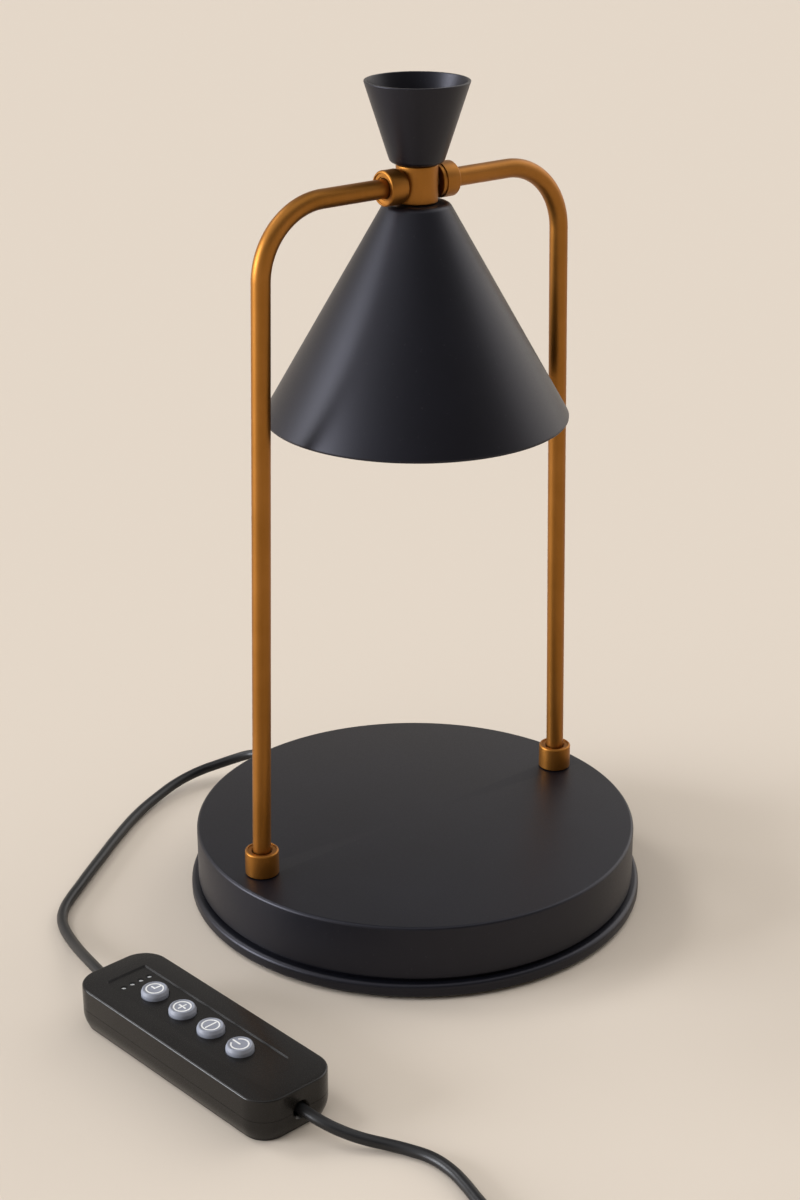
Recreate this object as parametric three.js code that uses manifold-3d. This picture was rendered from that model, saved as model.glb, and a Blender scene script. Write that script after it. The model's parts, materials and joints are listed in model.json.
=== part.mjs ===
// A candle warmer lamp: a round weighted base, two bent arms that meet at a hub, and a tilting head with a
// cone shade, a small funnel above it and a reflector bulb inside. A cord runs from the base to a
// hand-held controller with four buttons, and on to a coil and a plug.
// Lengths are in millimetres. The floor is z = 0, the base is centred on the Z axis, the arms stand on the
// X axis and the cord leaves the base towards +Y.
import * as THREE from "three";
import { mergeVertices } from "three/addons/utils/BufferGeometryUtils.js";
import Module from "manifold-3d";

const wasm = await Module();
wasm.setup();

// Clearances shared by the whole part.
const gap = 0.3;
const overrun = 2;

// Base: a pan with a rounded flange, a drum-shaped cover over it and a counterweight between them.
const flangeOverhang = 2.6;
const flangeHeight = 5.2;
const flangeRound = 2.5;
const flangeWidth = 6;
const footStand = 0.8;
const panWall = 1.6;
const coverRadius = 82.4;
const coverTop = 27.5;
const coverWall = 1.1;
const coverRound = 1.2;
const shadowGap = 1.2;
const spigotHeight = 2;
const spigotWall = 1.8;
const weightMargin = 5.2;
const weightHeight = 6;
const weightNotchWidth = 26;
const weightNotchMargin = 16.5;
const footRadius = 7.5;
const footInset = 13;
const footRound = 0.8;
const screwOffset = 21;
const screwRadius = 1.8;
const screwHeadRadius = 3.6;
const screwHeadHeight = 1.8;
const screwReach = 8;
const bossRadius = 4.2;
const cornerCount = 4;

// Frame: two bent tubes, a ferrule where each meets the base and a collar where each meets the hub.
const postInset = 12.3;
const postLean = 1.5;
const tubeRadius = 3.3;
const tubeWall = 1;
const bendRadius = 25;
const armHeight = 268.5;
const tubeFoot = 21;
const ferruleRadius = 6.1;
const ferruleHeight = 9.2;
const ferruleRound = 0.7;
const counterboreRadius = 4.3;
const counterboreDepth = 1.2;
const nutAcrossFlats = 11;
const nutHeight = 4;
const collarLength = 7.2;
const collarWall = 1.6;
const wireRadius = 1;
const wireCurveShares = { out: 0.4, along: 0.5 };

// Head: everything that tilts with the hub.
const hubRadius = 7.2;
const hubHeight = 12.9;
const hubBelowArm = 6.2;
const hubCavityRadius = 4.2;
const hubRound = 0.5;
const pinRadius = 2.2;
const pinBore = 1.3;
const pinHeadRadius = 3.3;
const pinHeadHeight = 1.2;
const pinReach = 3.2;
const washerThickness = 0.5;
const funnelHeight = 27.5;
const funnelTopRadius = 18.3;
const funnelBottomRadius = 9.1;
const funnelWall = 1;
const funnelRound = 2.2;
const funnelScrewRadius = 2.4;
const funnelScrewHeadRadius = 4.6;
const funnelScrewHeadHeight = 2.6;
const funnelScrewReach = 4.5;
const shadeRimRadius = 53.6;
const shadeRimHeight = 186.8;
const shadeTopRadius = 11.3;
const shadeWall = 0.9;
const shadeRound = 2.6;
const rimHem = 0.8;
const nippleRadius = 3.9;
const nippleBore = 2.6;
const nippleLength = 13;
const lockNutHeight = 3.2;
const lockNutAcrossFlats = 14;
const holderRadius = 12;
const holderHeight = 15;
const holderCapHeight = 2.4;
const holderRound = 1;
const bulbRadius = 25;
const bulbHeight = 46.5;
const bulbWall = 1.4;
const bulbNeckRadius = 9.5;
const bulbBaseHeight = 10;
const lensThickness = 1.6;
const bulbPinSpacing = 10;
const bulbPinRadius = 2.4;
const bulbPinLength = 6;
const capsuleRadius = 4.2;
const capsuleHeight = 17;

// Controller: two shells with a board between them, turned in plan and placed left of the base.
const controllerLength = 101;
const controllerWidth = 33;
const controllerHeight = 16;
const controllerCorner = 9.5;
const controllerX = -131.9;
const controllerY = -53.6;
const controllerTurn = -84.8;
const controllerWall = 1.6;
const controllerEdge = 0.9;
const controllerDraft = 1.5;
const controllerDraftHeight = 6;
const partingHeight = 8;
const panelLength = 77;
const panelWidth = 16.5;
const panelDepth = 0.5;
const panelCorner = 0.8;
const panelShift = -3.2;
const buttonRadius = 4.7;
const buttonFlangeRadius = 5.7;
const buttonFlangeHeight = 1;
const buttonPitch = 15.1;
const buttonStart = -25.1;
const buttonStand = 2.3;
const buttonRound = 1.1;
const buttonRoundAngle = 75;
const buttonTravel = 1;
const ledPitch = 3.6;
const ledRadius = 0.7;
const ledPlace = -35.4;
const ledCount = 4;
const guideHeight = 1.2;
const guideWidth = 2.6;
const boardLength = 84;
const boardWidth = 22;
const boardThickness = 1.6;
const boardHeight = 6.4;
const switchWidth = 6;
const switchHeight = 3;
const plungerRadius = 1.7;
const ribThickness = 2;
const ribPlace = 28;
const caseScrewX = 43;
const caseScrewY = 8.6;
const caseBossRadius = 3;
const caseScrewRadius = 1.2;
const caseScrewHeadRadius = 2.2;
const caseScrewHeadHeight = 1.2;
const caseScrewReach = 5;
const boardNotchGap = 1.3;

// Cord, its fittings, the coil of spare cord and the plug.
const cordRadius = 2;
const cordMouthRadius = 2.6;
const cordExitHeight = 12.2;
const reliefLength = 21;
const reliefRadius = 3.7;
const reliefTipRadius = 2.7;
const reliefFlangeRadius = 5.4;
const reliefFlangeHeight = 1.2;
const blockLength = 22;
const blockWidth = 13;
const blockHeight = 9;
const blockOffset = 23;
const clampLength = 11;
const clampWidth = 5;
const clampInset = 11.3;
const coilRadius = 20;
const coilTurnsWide = 3;
const coilTurnsHigh = 4;
const coilTurnGap = 0.15;
const coilX = -134;
const coilY = -212;
const tieWidth = 5;
const tieThickness = 0.6;
const tieSlack = 0.4;
const tieAngle = 150;
const plugLength = 28;
const plugWidth = 24;
const plugHeight = 15;
const plugCorner = 5;
const plugEdge = 1.5;
const plugReliefLength = 22;
const plugReliefRadius = 3.6;
const plugReliefNeck = 2;
const bladeLength = 17;
const bladeWidth = 6.3;
const bladeThickness = 1.5;
const bladeSpacing = 12.7;
const bladeInset = 4;

// How finely round shapes are cut.
const wideSegments = 48;
const midSegments = 28;
const smallSegments = 18;
const tinySegments = 10;
const cornerSegments = 3;
const tubeSides = 12;
const cordSides = 8;
const wireSides = 6;
const arcSteps = 3;
const bendSteps = 8;

// Places worked out from the sizes above.
const flangeRadius = coverRadius + flangeOverhang;
const footCircle = flangeRadius - flangeWidth - footInset;
const screwCircle = footCircle - screwOffset;
const postX = coverRadius - postInset;
const panTop = footStand + flangeHeight;
const panUnder = panTop - panWall;
const coverBottom = panTop + shadowGap;
const coverUnder = coverTop - coverWall;
const coverInner = coverRadius - coverWall;
const spigotRadius = coverInner - gap;
const weightRadius = spigotRadius - spigotWall - weightMargin;
const clampPlace = coverInner - clampInset;
const blockPlace = clampPlace - blockOffset;
const weightTop = panTop + gap + weightHeight;
const screwTop = weightTop + gap + screwReach;
const ferruleTop = coverTop + gap + ferruleHeight;
const hubBottom = armHeight - hubBelowArm;
const hubTop = hubBottom + hubHeight;
const collarInner = hubRadius + gap;
const washerPlace = collarInner + collarWall + gap;
const pinHeadPlace = washerPlace + washerThickness + gap;
const tubeEnd = pinHeadPlace + pinHeadHeight + gap;
const funnelBottom = hubTop + gap;
const funnelTop = funnelBottom + funnelHeight;
const shadeTop = hubBottom - gap;
const shadeUnder = shadeTop - shadeWall;
const lockNutTop = shadeUnder - gap;
const holderCapTop = lockNutTop - lockNutHeight - gap;
const holderTop = holderCapTop - holderCapHeight - gap;
const holderBottom = holderTop - holderHeight;
const bulbTop = holderBottom - gap;
const bulbBottom = bulbTop - bulbHeight;
const panelHeight = controllerHeight - panelDepth;
const panelUnder = panelHeight - controllerWall;
const buttonFlangeTop = panelUnder - gap;
const buttonUnder = buttonFlangeTop - buttonFlangeHeight;
const boardTop = boardHeight + boardThickness;
const switchTop = boardTop + switchHeight;
const plungerTop = buttonUnder - buttonTravel - gap;

// Colours and finishes.
function finish(color, roughness, metalness) {
  return new THREE.MeshStandardMaterial({ color, roughness, metalness });
}

const blackCoat = finish(0x1f2024, 0.5, 0.25);
const castIron = finish(0x3c3d40, 0.7, 0.6);
const copper = finish(0xb07a3c, 0.32, 1);
const steel = finish(0xb9bcc0, 0.35, 1);
const rubber = finish(0x17181a, 0.9, 0);
const ceramic = finish(0xece8df, 0.5, 0);
const glass = finish(0xe9eef2, 0.08, 0);
const mirror = finish(0xd9dde2, 0.12, 1);
const casePlastic = finish(0x26231f, 0.45, 0);
const buttonRubber = finish(0x8893a3, 0.6, 0);
const boardGreen = finish(0x1f6b3a, 0.6, 0);
const clearPlastic = finish(0xf2f2ee, 0.3, 0);
const cordJacket = finish(0x1e1e20, 0.5, 0);
const wireJacket = finish(0xd8d3c6, 0.6, 0);

const lamp = new THREE.Group();

function add(name, shape, material, parent = lamp) {
  const mesh = new THREE.Mesh(shape instanceof wasm.Manifold ? geometryOf(shape) : shape, material);
  mesh.name = name;
  parent.add(mesh);
  return mesh;
}

// Solids for cutting and joining.
function solidOf(geometry) {
  const bare = geometry.clone();
  for (const name of ["normal", "uv"]) bare.deleteAttribute(name);
  const merged = mergeVertices(bare, 1e-4);
  return new wasm.Manifold(
    new wasm.Mesh({
      numProp: 3,
      vertProperties: new Float32Array(merged.attributes.position.array),
      triVerts: new Uint32Array(merged.index.array),
    }),
  );
}

function geometryOf(solid) {
  const made = solid.getMesh();
  return new THREE.BufferGeometry()
    .setAttribute("position", new THREE.BufferAttribute(made.vertProperties, made.numProp))
    .setIndex(new THREE.BufferAttribute(made.triVerts, 1));
}

// Cuts and joins: the first shape, less or plus all the others.
function cut(shape, ...others) {
  return others.reduce((body, other) => body.subtract(asSolid(other)), asSolid(shape));
}

function join(shape, ...others) {
  return others.reduce((body, other) => body.add(asSolid(other)), asSolid(shape));
}

function asSolid(shape) {
  return shape instanceof wasm.Manifold ? shape : solidOf(shape);
}

// A turned shape about Z. The outline is a list of [radius, height] pairs that runs anticlockwise in the
// half plane; one that leaves the axis is closed on itself.
function turned(outline, segments) {
  const points = outline.map(([r, z]) => new THREE.Vector2(r, z));
  const ends = [points[0], points.at(-1)];
  if (ends.some((end) => end.x > 0)) points.push(points[0].clone());
  return new THREE.LatheGeometry(points, segments).rotateX(Math.PI / 2);
}

// Points of a quarter circle about a centre, from one angle to another in degrees.
function arc(centre, radius, from, to, steps = arcSteps) {
  return Array.from({ length: steps + 1 }, (_, i) => {
    const angle = THREE.MathUtils.degToRad(from + ((to - from) * i) / steps);
    return [centre[0] + radius * Math.cos(angle), centre[1] + radius * Math.sin(angle)];
  });
}

function cylinder(radius, bottom, top, segments = smallSegments) {
  return turned([[0, bottom], [radius, bottom], [radius, top], [0, top]], segments);
}

// An upright peg of few sides at a place in plan.
function peg(radius, bottom, top, x, y) {
  return cylinder(radius, bottom, top, tinySegments).translate(x, y, 0);
}

function ring(outer, inner, bottom, top, segments = smallSegments) {
  return turned([[inner, bottom], [outer, bottom], [outer, top], [inner, top]], segments);
}

function box(width, depth, bottom, top) {
  return new THREE.BoxGeometry(width, depth, top - bottom).translate(0, 0, (bottom + top) / 2);
}

// A flat outline with rounded corners, centred on the origin.
function roundedRectangle(length, width, corner) {
  const [x, y] = [length / 2, width / 2];
  const shape = new THREE.Shape();
  shape.moveTo(x - corner, -y);
  shape.absarc(x - corner, corner - y, corner, -Math.PI / 2, 0);
  shape.absarc(x - corner, y - corner, corner, 0, Math.PI / 2);
  shape.absarc(corner - x, y - corner, corner, Math.PI / 2, Math.PI);
  shape.absarc(corner - x, corner - y, corner, Math.PI, Math.PI * 1.5);
  return shape;
}

function hexNut(acrossFlats, bore, bottom, top) {
  const shape = new THREE.Shape();
  const circumradius = acrossFlats / Math.sqrt(3);
  const sides = 6;
  for (let i = 0; i < sides; i++) {
    const angle = (i / sides) * Math.PI * 2;
    const corner = [circumradius * Math.cos(angle), circumradius * Math.sin(angle)];
    if (i) shape.lineTo(...corner);
    else shape.moveTo(...corner);
  }
  const hole = new THREE.Path();
  hole.absarc(0, 0, bore, 0, Math.PI * 2, true);
  shape.holes.push(hole);
  return extruded(shape, bottom, top, { curveSegments: smallSegments / 2 });
}

function extruded(shape, bottom, top, options = {}) {
  const geometry = new THREE.ExtrudeGeometry(shape, {
    depth: top - bottom,
    bevelEnabled: false,
    curveSegments: cornerSegments,
    ...options,
  });
  return geometry.translate(0, 0, bottom);
}

// A line through given points that puts one cross section at each point.
class Route extends THREE.Curve {
  constructor(points) {
    super();
    this.points = points;
  }
  getPointAt(u) {
    return this.points[Math.round(u * (this.points.length - 1))].clone();
  }
  getTangentAt(u) {
    const i = Math.round(u * (this.points.length - 1));
    const before = this.points[Math.max(i - 1, 0)];
    const after = this.points[Math.min(i + 1, this.points.length - 1)];
    const here = this.points[i];
    const incoming = here.clone().sub(before).normalize();
    const outgoing = after.clone().sub(here).normalize();
    return incoming.add(outgoing).normalize();
  }
}

function swept(points, radius, bore, sides) {
  const shape = new THREE.Shape();
  shape.absarc(0, 0, radius, 0, Math.PI * 2);
  if (bore) {
    const hole = new THREE.Path();
    hole.absarc(0, 0, bore, 0, Math.PI * 2, true);
    shape.holes.push(hole);
  }
  return new THREE.ExtrudeGeometry(shape, {
    steps: points.length - 1,
    curveSegments: sides / 2,
    extrudePath: new Route(points),
  });
}

// The plan places of pieces that repeat at the corners of a square round the axis.
function corners(circle) {
  return Array.from({ length: cornerCount }, (_, i) => {
    const angle = ((i + 0.5) / cornerCount) * Math.PI * 2;
    return [circle * Math.cos(angle), circle * Math.sin(angle)];
  });
}

const rightAngle = Math.PI / 2;

// Base pan: a thin floor inside a rounded flange, with a low spigot that locates the cover.
function basePan() {
  const rim = flangeRadius - flangeRound;
  const inner = flangeRadius - flangeWidth;
  const body = turned(
    [
      [0, panUnder],
      [inner, panUnder],
      [inner, footStand],
      ...arc([rim, footStand + flangeRound], flangeRound, -90, 0),
      ...arc([rim, panTop - flangeRound], flangeRound, 0, 90),
      [spigotRadius, panTop],
      [spigotRadius, panTop + spigotHeight],
      [spigotRadius - spigotWall, panTop + spigotHeight],
      [spigotRadius - spigotWall, panTop],
      [0, panTop],
    ],
    wideSegments,
  );
  const holes = corners(screwCircle).map((place) =>
    peg(screwRadius + gap, panUnder - overrun, panTop + overrun, ...place),
  );
  const notchTop = panTop + spigotHeight + overrun;
  const cordNotch = box(2 * (reliefFlangeRadius + gap), 4 * spigotWall, panTop, notchTop);
  return cut(body, ...holes, cordNotch.translate(0, spigotRadius, 0));
}

// Drum cover: a thin shell, open below, with a hole for each arm, one for the cord and four screw bosses.
function baseCover() {
  const shell = turned(
    [
      [0, coverUnder],
      [coverInner, coverUnder],
      [coverInner, coverBottom],
      [coverRadius, coverBottom],
      ...arc([coverRadius - coverRound, coverTop - coverRound], coverRound, 0, 90),
      [0, coverTop],
    ],
    wideSegments,
  );
  const bosses = corners(screwCircle).map((place) =>
    peg(bossRadius, weightTop + gap, coverUnder + coverWall / 2, ...place),
  );
  const bores = corners(screwCircle).map((place) =>
    peg(screwRadius + gap, weightTop, screwTop + gap, ...place),
  );
  const armHoles = [-postX, postX].map((x) =>
    cylinder(tubeRadius + gap, coverUnder - overrun, coverTop + overrun).translate(x, 0, 0),
  );
  const cordHole = cylinder(reliefRadius + gap, coverInner - overrun, coverRadius + overrun)
    .rotateX(-rightAngle)
    .translate(0, 0, cordExitHeight);
  return cut(join(shell, ...bosses), ...bores, ...armHoles, cordHole);
}

function counterweight() {
  const disc = cylinder(weightRadius, panTop + gap, weightTop, wideSegments);
  const holes = corners(screwCircle).map((place) =>
    peg(screwRadius + gap, panTop - overrun, weightTop + overrun, ...place),
  );
  const notchStart = blockPlace - blockWidth / 2 - weightNotchMargin;
  const notchLength = weightRadius + overrun - notchStart;
  const notch = box(weightNotchWidth, notchLength, panTop - overrun, weightTop + overrun);
  notch.translate(0, notchStart + notchLength / 2, 0);
  return cut(disc, ...holes, notch);
}

function rubberFoot() {
  const top = panUnder - gap;
  return turned(
    [[0, 0], [footRadius - footRound, 0], [footRadius, footRound], [footRadius, top], [0, top]],
    smallSegments,
  );
}

function baseScrew() {
  const headTop = panUnder - gap;
  return turned(
    [
      [0, headTop - screwHeadHeight],
      [screwHeadRadius, headTop - screwHeadHeight],
      [screwHeadRadius, headTop],
      [screwRadius, headTop],
      [screwRadius, screwTop],
      [0, screwTop],
    ],
    tinySegments,
  );
}

// Terminal block inside the base, with a way for the wires along Y.
function terminalBlock() {
  const bottom = panTop + gap;
  const block = box(blockLength, blockWidth, bottom, bottom + blockHeight);
  const wireWay = cylinder(wireRadius + gap, -blockWidth, blockWidth, tinySegments);
  wireWay.rotateX(rightAngle).translate(0, 0, cordExitHeight);
  const top = bottom + blockHeight;
  const groove = box(blockLength / 3, blockWidth / 2, top - blockHeight / 2, top + overrun);
  const grooves = [-1, 1].map((side) => groove.clone().translate((side * blockLength) / 3, 0, 0));
  return cut(block, wireWay, ...grooves).translate([0, blockPlace, 0]);
}

// Saddle that grips the cord just inside the wall of the cover.
function cordClamp() {
  const bottom = panTop + gap;
  const top = cordExitHeight + cordRadius + gap + panWall;
  const saddle = box(clampLength, clampWidth, bottom, top);
  const way = cylinder(cordRadius + gap, -clampWidth, clampWidth, tinySegments);
  way.rotateX(rightAngle).translate(0, 0, cordExitHeight);
  return cut(saddle, way).translate([0, clampPlace, 0]);
}

// Tapered bush that snaps into the wall of the cover, made along Z and laid towards +Y.
function baseRelief() {
  const tail = coverRadius + gap;
  const nose = coverInner - 2 * gap;
  return turned(
    [
      [0, nose - reliefFlangeHeight],
      [reliefFlangeRadius, nose - reliefFlangeHeight],
      [reliefFlangeRadius, nose],
      [reliefRadius, nose],
      [reliefRadius, tail],
      [reliefFlangeRadius, tail],
      [reliefFlangeRadius, tail + reliefFlangeHeight],
      [reliefRadius, tail + 2 * reliefFlangeHeight],
      [reliefTipRadius, tail + reliefLength],
      [0, tail + reliefLength],
    ],
    smallSegments,
  )
    .rotateX(-rightAngle)
    .translate(0, 0, cordExitHeight);
}

function baseParts() {
  add("base_pan", basePan(), blackCoat);
  add("base_cover", baseCover(), blackCoat);
  add("counterweight", counterweight(), castIron);
  corners(footCircle).forEach(([x, y], i) => {
    add(`rubber_foot_${i + 1}`, rubberFoot(), rubber).position.set(x, y, 0);
  });
  corners(screwCircle).forEach(([x, y], i) => {
    add(`base_screw_${i + 1}`, baseScrew(), steel).position.set(x, y, 0);
  });
  add("terminal_block", terminalBlock(), ceramic);
  add("cord_clamp", cordClamp(), clearPlastic);
  add("base_strain_relief", baseRelief(), rubber);
}

// Points up a post, round its bend and along its arm; side is -1 for left and 1 for right. The post is
// upright in its ferrule and leans inwards above it.
function armRoute(side, foot, end) {
  const lean = THREE.MathUtils.degToRad(postLean);
  const bendStart = armHeight - bendRadius * (1 - Math.sin(lean));
  const bendX = postX - (bendStart - ferruleTop) * Math.tan(lean) - bendRadius * Math.cos(lean);
  const points = [foot, ferruleTop].map((z) => new THREE.Vector3(side * postX, 0, z));
  for (let i = 0; i <= bendSteps; i++) {
    const angle = lean + (i / bendSteps) * (rightAngle - lean);
    const x = bendX + bendRadius * Math.cos(angle);
    points.push(new THREE.Vector3(side * x, 0, armHeight - bendRadius + bendRadius * Math.sin(angle)));
  }
  points.push(new THREE.Vector3(side * end, 0, armHeight));
  return points;
}

// A short sleeve with a stepped mouth at its outer end, made upwards from z = 0.
function sleeve(length, floorWall, floorBore) {
  const bore = tubeRadius + gap;
  const inside = floorWall ? [[bore, floorWall], [floorBore, floorWall], [floorBore, 0]] : [[bore, 0]];
  return turned(
    [
      ...inside,
      [ferruleRadius - ferruleRound / 2, 0],
      [ferruleRadius, ferruleRound / 2],
      ...arc([ferruleRadius - ferruleRound, length - ferruleRound], ferruleRound, 0, 90, 2),
      [counterboreRadius, length],
      [counterboreRadius, length - counterboreDepth],
      [bore, length - counterboreDepth],
    ],
    smallSegments,
  );
}

// Points of the inner wire: from the terminal block over the counterweight, then up the left tube.
function wireRoute() {
  const height = weightTop + gap + 2 * wireRadius;
  const bend = tubeFoot - height;
  const start = new THREE.Vector3(0, blockPlace - blockWidth / 2 - gap, cordExitHeight);
  const end = new THREE.Vector3(bend - postX, 0, height);
  const out = new THREE.Vector3(0, start.y * wireCurveShares.out, height);
  const along = new THREE.Vector3(end.x * wireCurveShares.along, 0, height);
  const points = new THREE.CubicBezierCurve3(start, out, along, end).getPoints(bendSteps);
  for (let i = 1; i < bendSteps / 2; i++) {
    const angle = (i / (bendSteps / 2)) * rightAngle;
    points.push(new THREE.Vector3(end.x - bend * Math.sin(angle), 0, tubeFoot - bend * Math.cos(angle)));
  }
  return [...points, ...armRoute(-1, tubeFoot, tubeEnd)];
}

function frameParts() {
  for (const [side, word] of [[-1, "left"], [1, "right"]]) {
    const tube = swept(armRoute(side, tubeFoot, tubeEnd), tubeRadius, tubeRadius - tubeWall, tubeSides);
    add(`${word}_arm_tube`, tube, copper);
    const ferrule = add(`${word}_ferrule`, sleeve(ferruleHeight, 0, 0), copper);
    ferrule.position.set(side * postX, 0, coverTop + gap);
    const nutTop = coverUnder - gap;
    const nut = hexNut(nutAcrossFlats, tubeRadius + gap, nutTop - nutHeight, nutTop);
    add(`${word}_arm_nut`, nut, steel).position.set(side * postX, 0, 0);
    const collar = add(`${word}_collar`, sleeve(collarLength, collarWall, pinRadius + gap), copper);
    collar.position.set(side * collarInner, 0, armHeight);
    collar.rotation.y = side * rightAngle;
    const washer = ring(pinHeadRadius, pinRadius + gap, 0, washerThickness, smallSegments);
    const laid = add(`${word}_friction_washer`, washer, steel);
    laid.position.set(side * washerPlace, 0, armHeight);
    laid.rotation.y = side * rightAngle;
  }
  add("lamp_wire", swept(wireRoute(), wireRadius, 0, wireSides), wireJacket);
}

function hubBody() {
  const upperBore = funnelScrewRadius + gap;
  const lowerBore = nippleRadius + gap;
  const floor = hubTop - funnelScrewReach - gap;
  const body = turned(
    [
      [lowerBore, hubBottom],
      [hubRadius - hubRound, hubBottom],
      [hubRadius, hubBottom + hubRound],
      [hubRadius, hubTop - hubRound],
      [hubRadius - hubRound, hubTop],
      [upperBore, hubTop],
      [upperBore, floor],
      [hubCavityRadius, floor],
      [lowerBore, floor - gap],
    ],
    midSegments,
  );
  const cross = cylinder(pinRadius + gap, -hubRadius - overrun, hubRadius + overrun, tinySegments);
  return cut(body, cross.rotateY(rightAngle).translate(0, 0, armHeight));
}

// Hollow pivot pin, made upwards from z = 0 with its head on top.
function pivotPin() {
  const shank = pinHeadPlace - pinReach;
  return turned(
    [
      [pinBore, 0],
      [pinRadius, 0],
      [pinRadius, shank],
      [pinHeadRadius, shank],
      [pinHeadRadius, shank + pinHeadHeight],
      [pinBore, shank + pinHeadHeight],
    ],
    tinySegments,
  );
}

function funnel() {
  const slope = (funnelTopRadius - funnelBottomRadius) / funnelHeight;
  const tilt = THREE.MathUtils.radToDeg(Math.atan(slope));
  const side = funnelWall * Math.hypot(1, slope);
  const roundX = funnelBottomRadius - funnelRound * Math.tan(((90 - tilt) * Math.PI) / 360);
  const floor = funnelBottom + funnelWall;
  return turned(
    [
      [funnelScrewRadius + gap, funnelBottom],
      ...arc([roundX, funnelBottom + funnelRound], funnelRound, -90, -tilt),
      [funnelTopRadius - funnelWall / 4, funnelTop - funnelWall / 2],
      [funnelTopRadius - side / 2, funnelTop],
      [funnelTopRadius - side, funnelTop - funnelWall / 2],
      [roundX + funnelRound / 2, floor + funnelRound / 2],
      [roundX, floor],
      [funnelScrewRadius + gap, floor],
    ],
    midSegments,
  );
}

function funnelScrew() {
  const seat = funnelBottom + funnelWall + gap;
  return turned(
    [
      [0, hubTop - funnelScrewReach],
      [funnelScrewRadius, hubTop - funnelScrewReach],
      [funnelScrewRadius, seat],
      [funnelScrewHeadRadius, seat],
      [funnelScrewHeadRadius, seat + funnelScrewHeadHeight / 2],
      [funnelScrewHeadRadius / 2, seat + funnelScrewHeadHeight],
      [0, seat + funnelScrewHeadHeight],
    ],
    tinySegments,
  );
}

// Cone shade: a thin shell with a rounded shoulder and a plain hem at its rim.
function shade() {
  const slope = (shadeRimRadius - shadeTopRadius) / (shadeTop - shadeRimHeight);
  const tilt = THREE.MathUtils.radToDeg(Math.atan(slope));
  const side = shadeWall * Math.hypot(1, slope);
  const shoulder = shadeTopRadius - shadeRound * Math.tan(((90 - tilt) * Math.PI) / 360);
  const hemTop = shadeRimHeight + rimHem;
  return turned(
    [
      [shadeRimRadius - side, shadeRimHeight],
      [shadeRimRadius, shadeRimHeight],
      [shadeRimRadius, hemTop],
      ...arc([shoulder, shadeTop - shadeRound], shadeRound, tilt, 90),
      [nippleRadius + gap, shadeTop],
      [nippleRadius + gap, shadeUnder],
      ...arc([shoulder, shadeTop - shadeRound], shadeRound - shadeWall, 90, tilt, 2),
      [shadeRimRadius - side, hemTop],
    ],
    wideSegments,
  );
}

function lampholder() {
  const body = turned(
    [
      [nippleRadius + gap, holderBottom + holderHeight / 2],
      [nippleRadius + gap, holderBottom],
      [holderRadius, holderBottom],
      [holderRadius, holderTop - holderRound],
      [holderRadius - holderRound, holderTop],
      [nippleRadius + gap, holderTop],
    ],
    midSegments,
  );
  const socketTop = holderBottom + bulbPinLength;
  const sockets = [-1, 1].map((end) =>
    peg(bulbPinRadius + gap, holderBottom - overrun, socketTop, (end * bulbPinSpacing) / 2, 0),
  );
  return cut(body, ...sockets);
}

// Reflector: a thin bowl, open below, that narrows to a solid base.
function reflector() {
  const steps = 5;
  const bowlTop = bulbTop - bulbBaseHeight;
  const bowlHeight = bowlTop - bulbBottom;
  const bowl = (inset) =>
    Array.from({ length: steps + 1 }, (_, i) => {
      const up = i / steps;
      const radius = bulbNeckRadius + (bulbRadius - bulbNeckRadius) * Math.sqrt(1 - up);
      return [radius - inset, bulbBottom + bowlHeight * up];
    });
  const outside = bowl(0);
  const inside = bowl(bulbWall).reverse();
  inside[0] = [bulbNeckRadius, bowlTop - bulbWall];
  return turned(
    [[0, bowlTop - bulbWall], ...inside, ...outside, [bulbNeckRadius, bulbTop], [0, bulbTop]],
    midSegments,
  );
}

function headParts() {
  add("hub", hubBody(), copper);
  for (const [side, word] of [[-1, "left"], [1, "right"]]) {
    const pin = add(`${word}_pivot_pin`, pivotPin(), steel);
    pin.position.set(side * pinReach, 0, armHeight);
    pin.rotation.y = side * rightAngle;
  }
  add("funnel", funnel(), blackCoat);
  add("funnel_screw", funnelScrew(), steel);
  add("shade", shade(), blackCoat);
  const nippleTop = hubBottom + pinRadius;
  add("nipple", ring(nippleRadius, nippleBore, nippleTop - nippleLength, nippleTop), steel);
  const nutBottom = lockNutTop - lockNutHeight;
  add("shade_lock_nut", hexNut(lockNutAcrossFlats, nippleRadius + gap, nutBottom, lockNutTop), steel);
  const capBottom = holderCapTop - holderCapHeight;
  add("lampholder_cap", ring(holderRadius, nippleRadius + gap, capBottom, holderCapTop, midSegments), steel);
  add("lampholder", lampholder(), ceramic);
  add("bulb_reflector", reflector(), mirror);
  const lensRadius = bulbRadius - bulbWall - 2 * gap;
  add("bulb_lens", cylinder(lensRadius, bulbBottom, bulbBottom + lensThickness, midSegments), glass);
  const capsuleTop = bulbTop - bulbBaseHeight - bulbWall - gap;
  const capsule = turned(
    [
      ...arc([0, capsuleTop - capsuleHeight], capsuleRadius, -90, 0),
      [capsuleRadius, capsuleTop],
      [0, capsuleTop],
    ],
    tinySegments,
  );
  add("bulb_capsule", capsule, glass);
  for (const [end, word] of [[-1, "a"], [1, "b"]]) {
    const pin = cylinder(bulbPinRadius, bulbTop + gap, bulbTop + bulbPinLength - gap, tinySegments);
    add(`bulb_pin_${word}`, pin, steel).position.x = (end * bulbPinSpacing) / 2;
  }
}

// Controller, made along its own X axis with the cord from the base at its -X end.
const controller = new THREE.Group();
controller.position.set(controllerX, controllerY, 0);
controller.rotation.z = THREE.MathUtils.degToRad(controllerTurn);
lamp.add(controller);

const buttonWords = ["timer", "plus", "minus", "power"];
const buttonPlaces = buttonWords.map((word, i) => [word, buttonStart + i * buttonPitch]);
const ledPlaces = Array.from({ length: ledCount }, (_, i) => (i - (ledCount - 1) / 2) * ledPitch);

const caseScrewPlaces = [[-caseScrewX, caseScrewY], [caseScrewX, -caseScrewY]];
const caseScrewTop = partingHeight + caseScrewReach;

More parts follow.
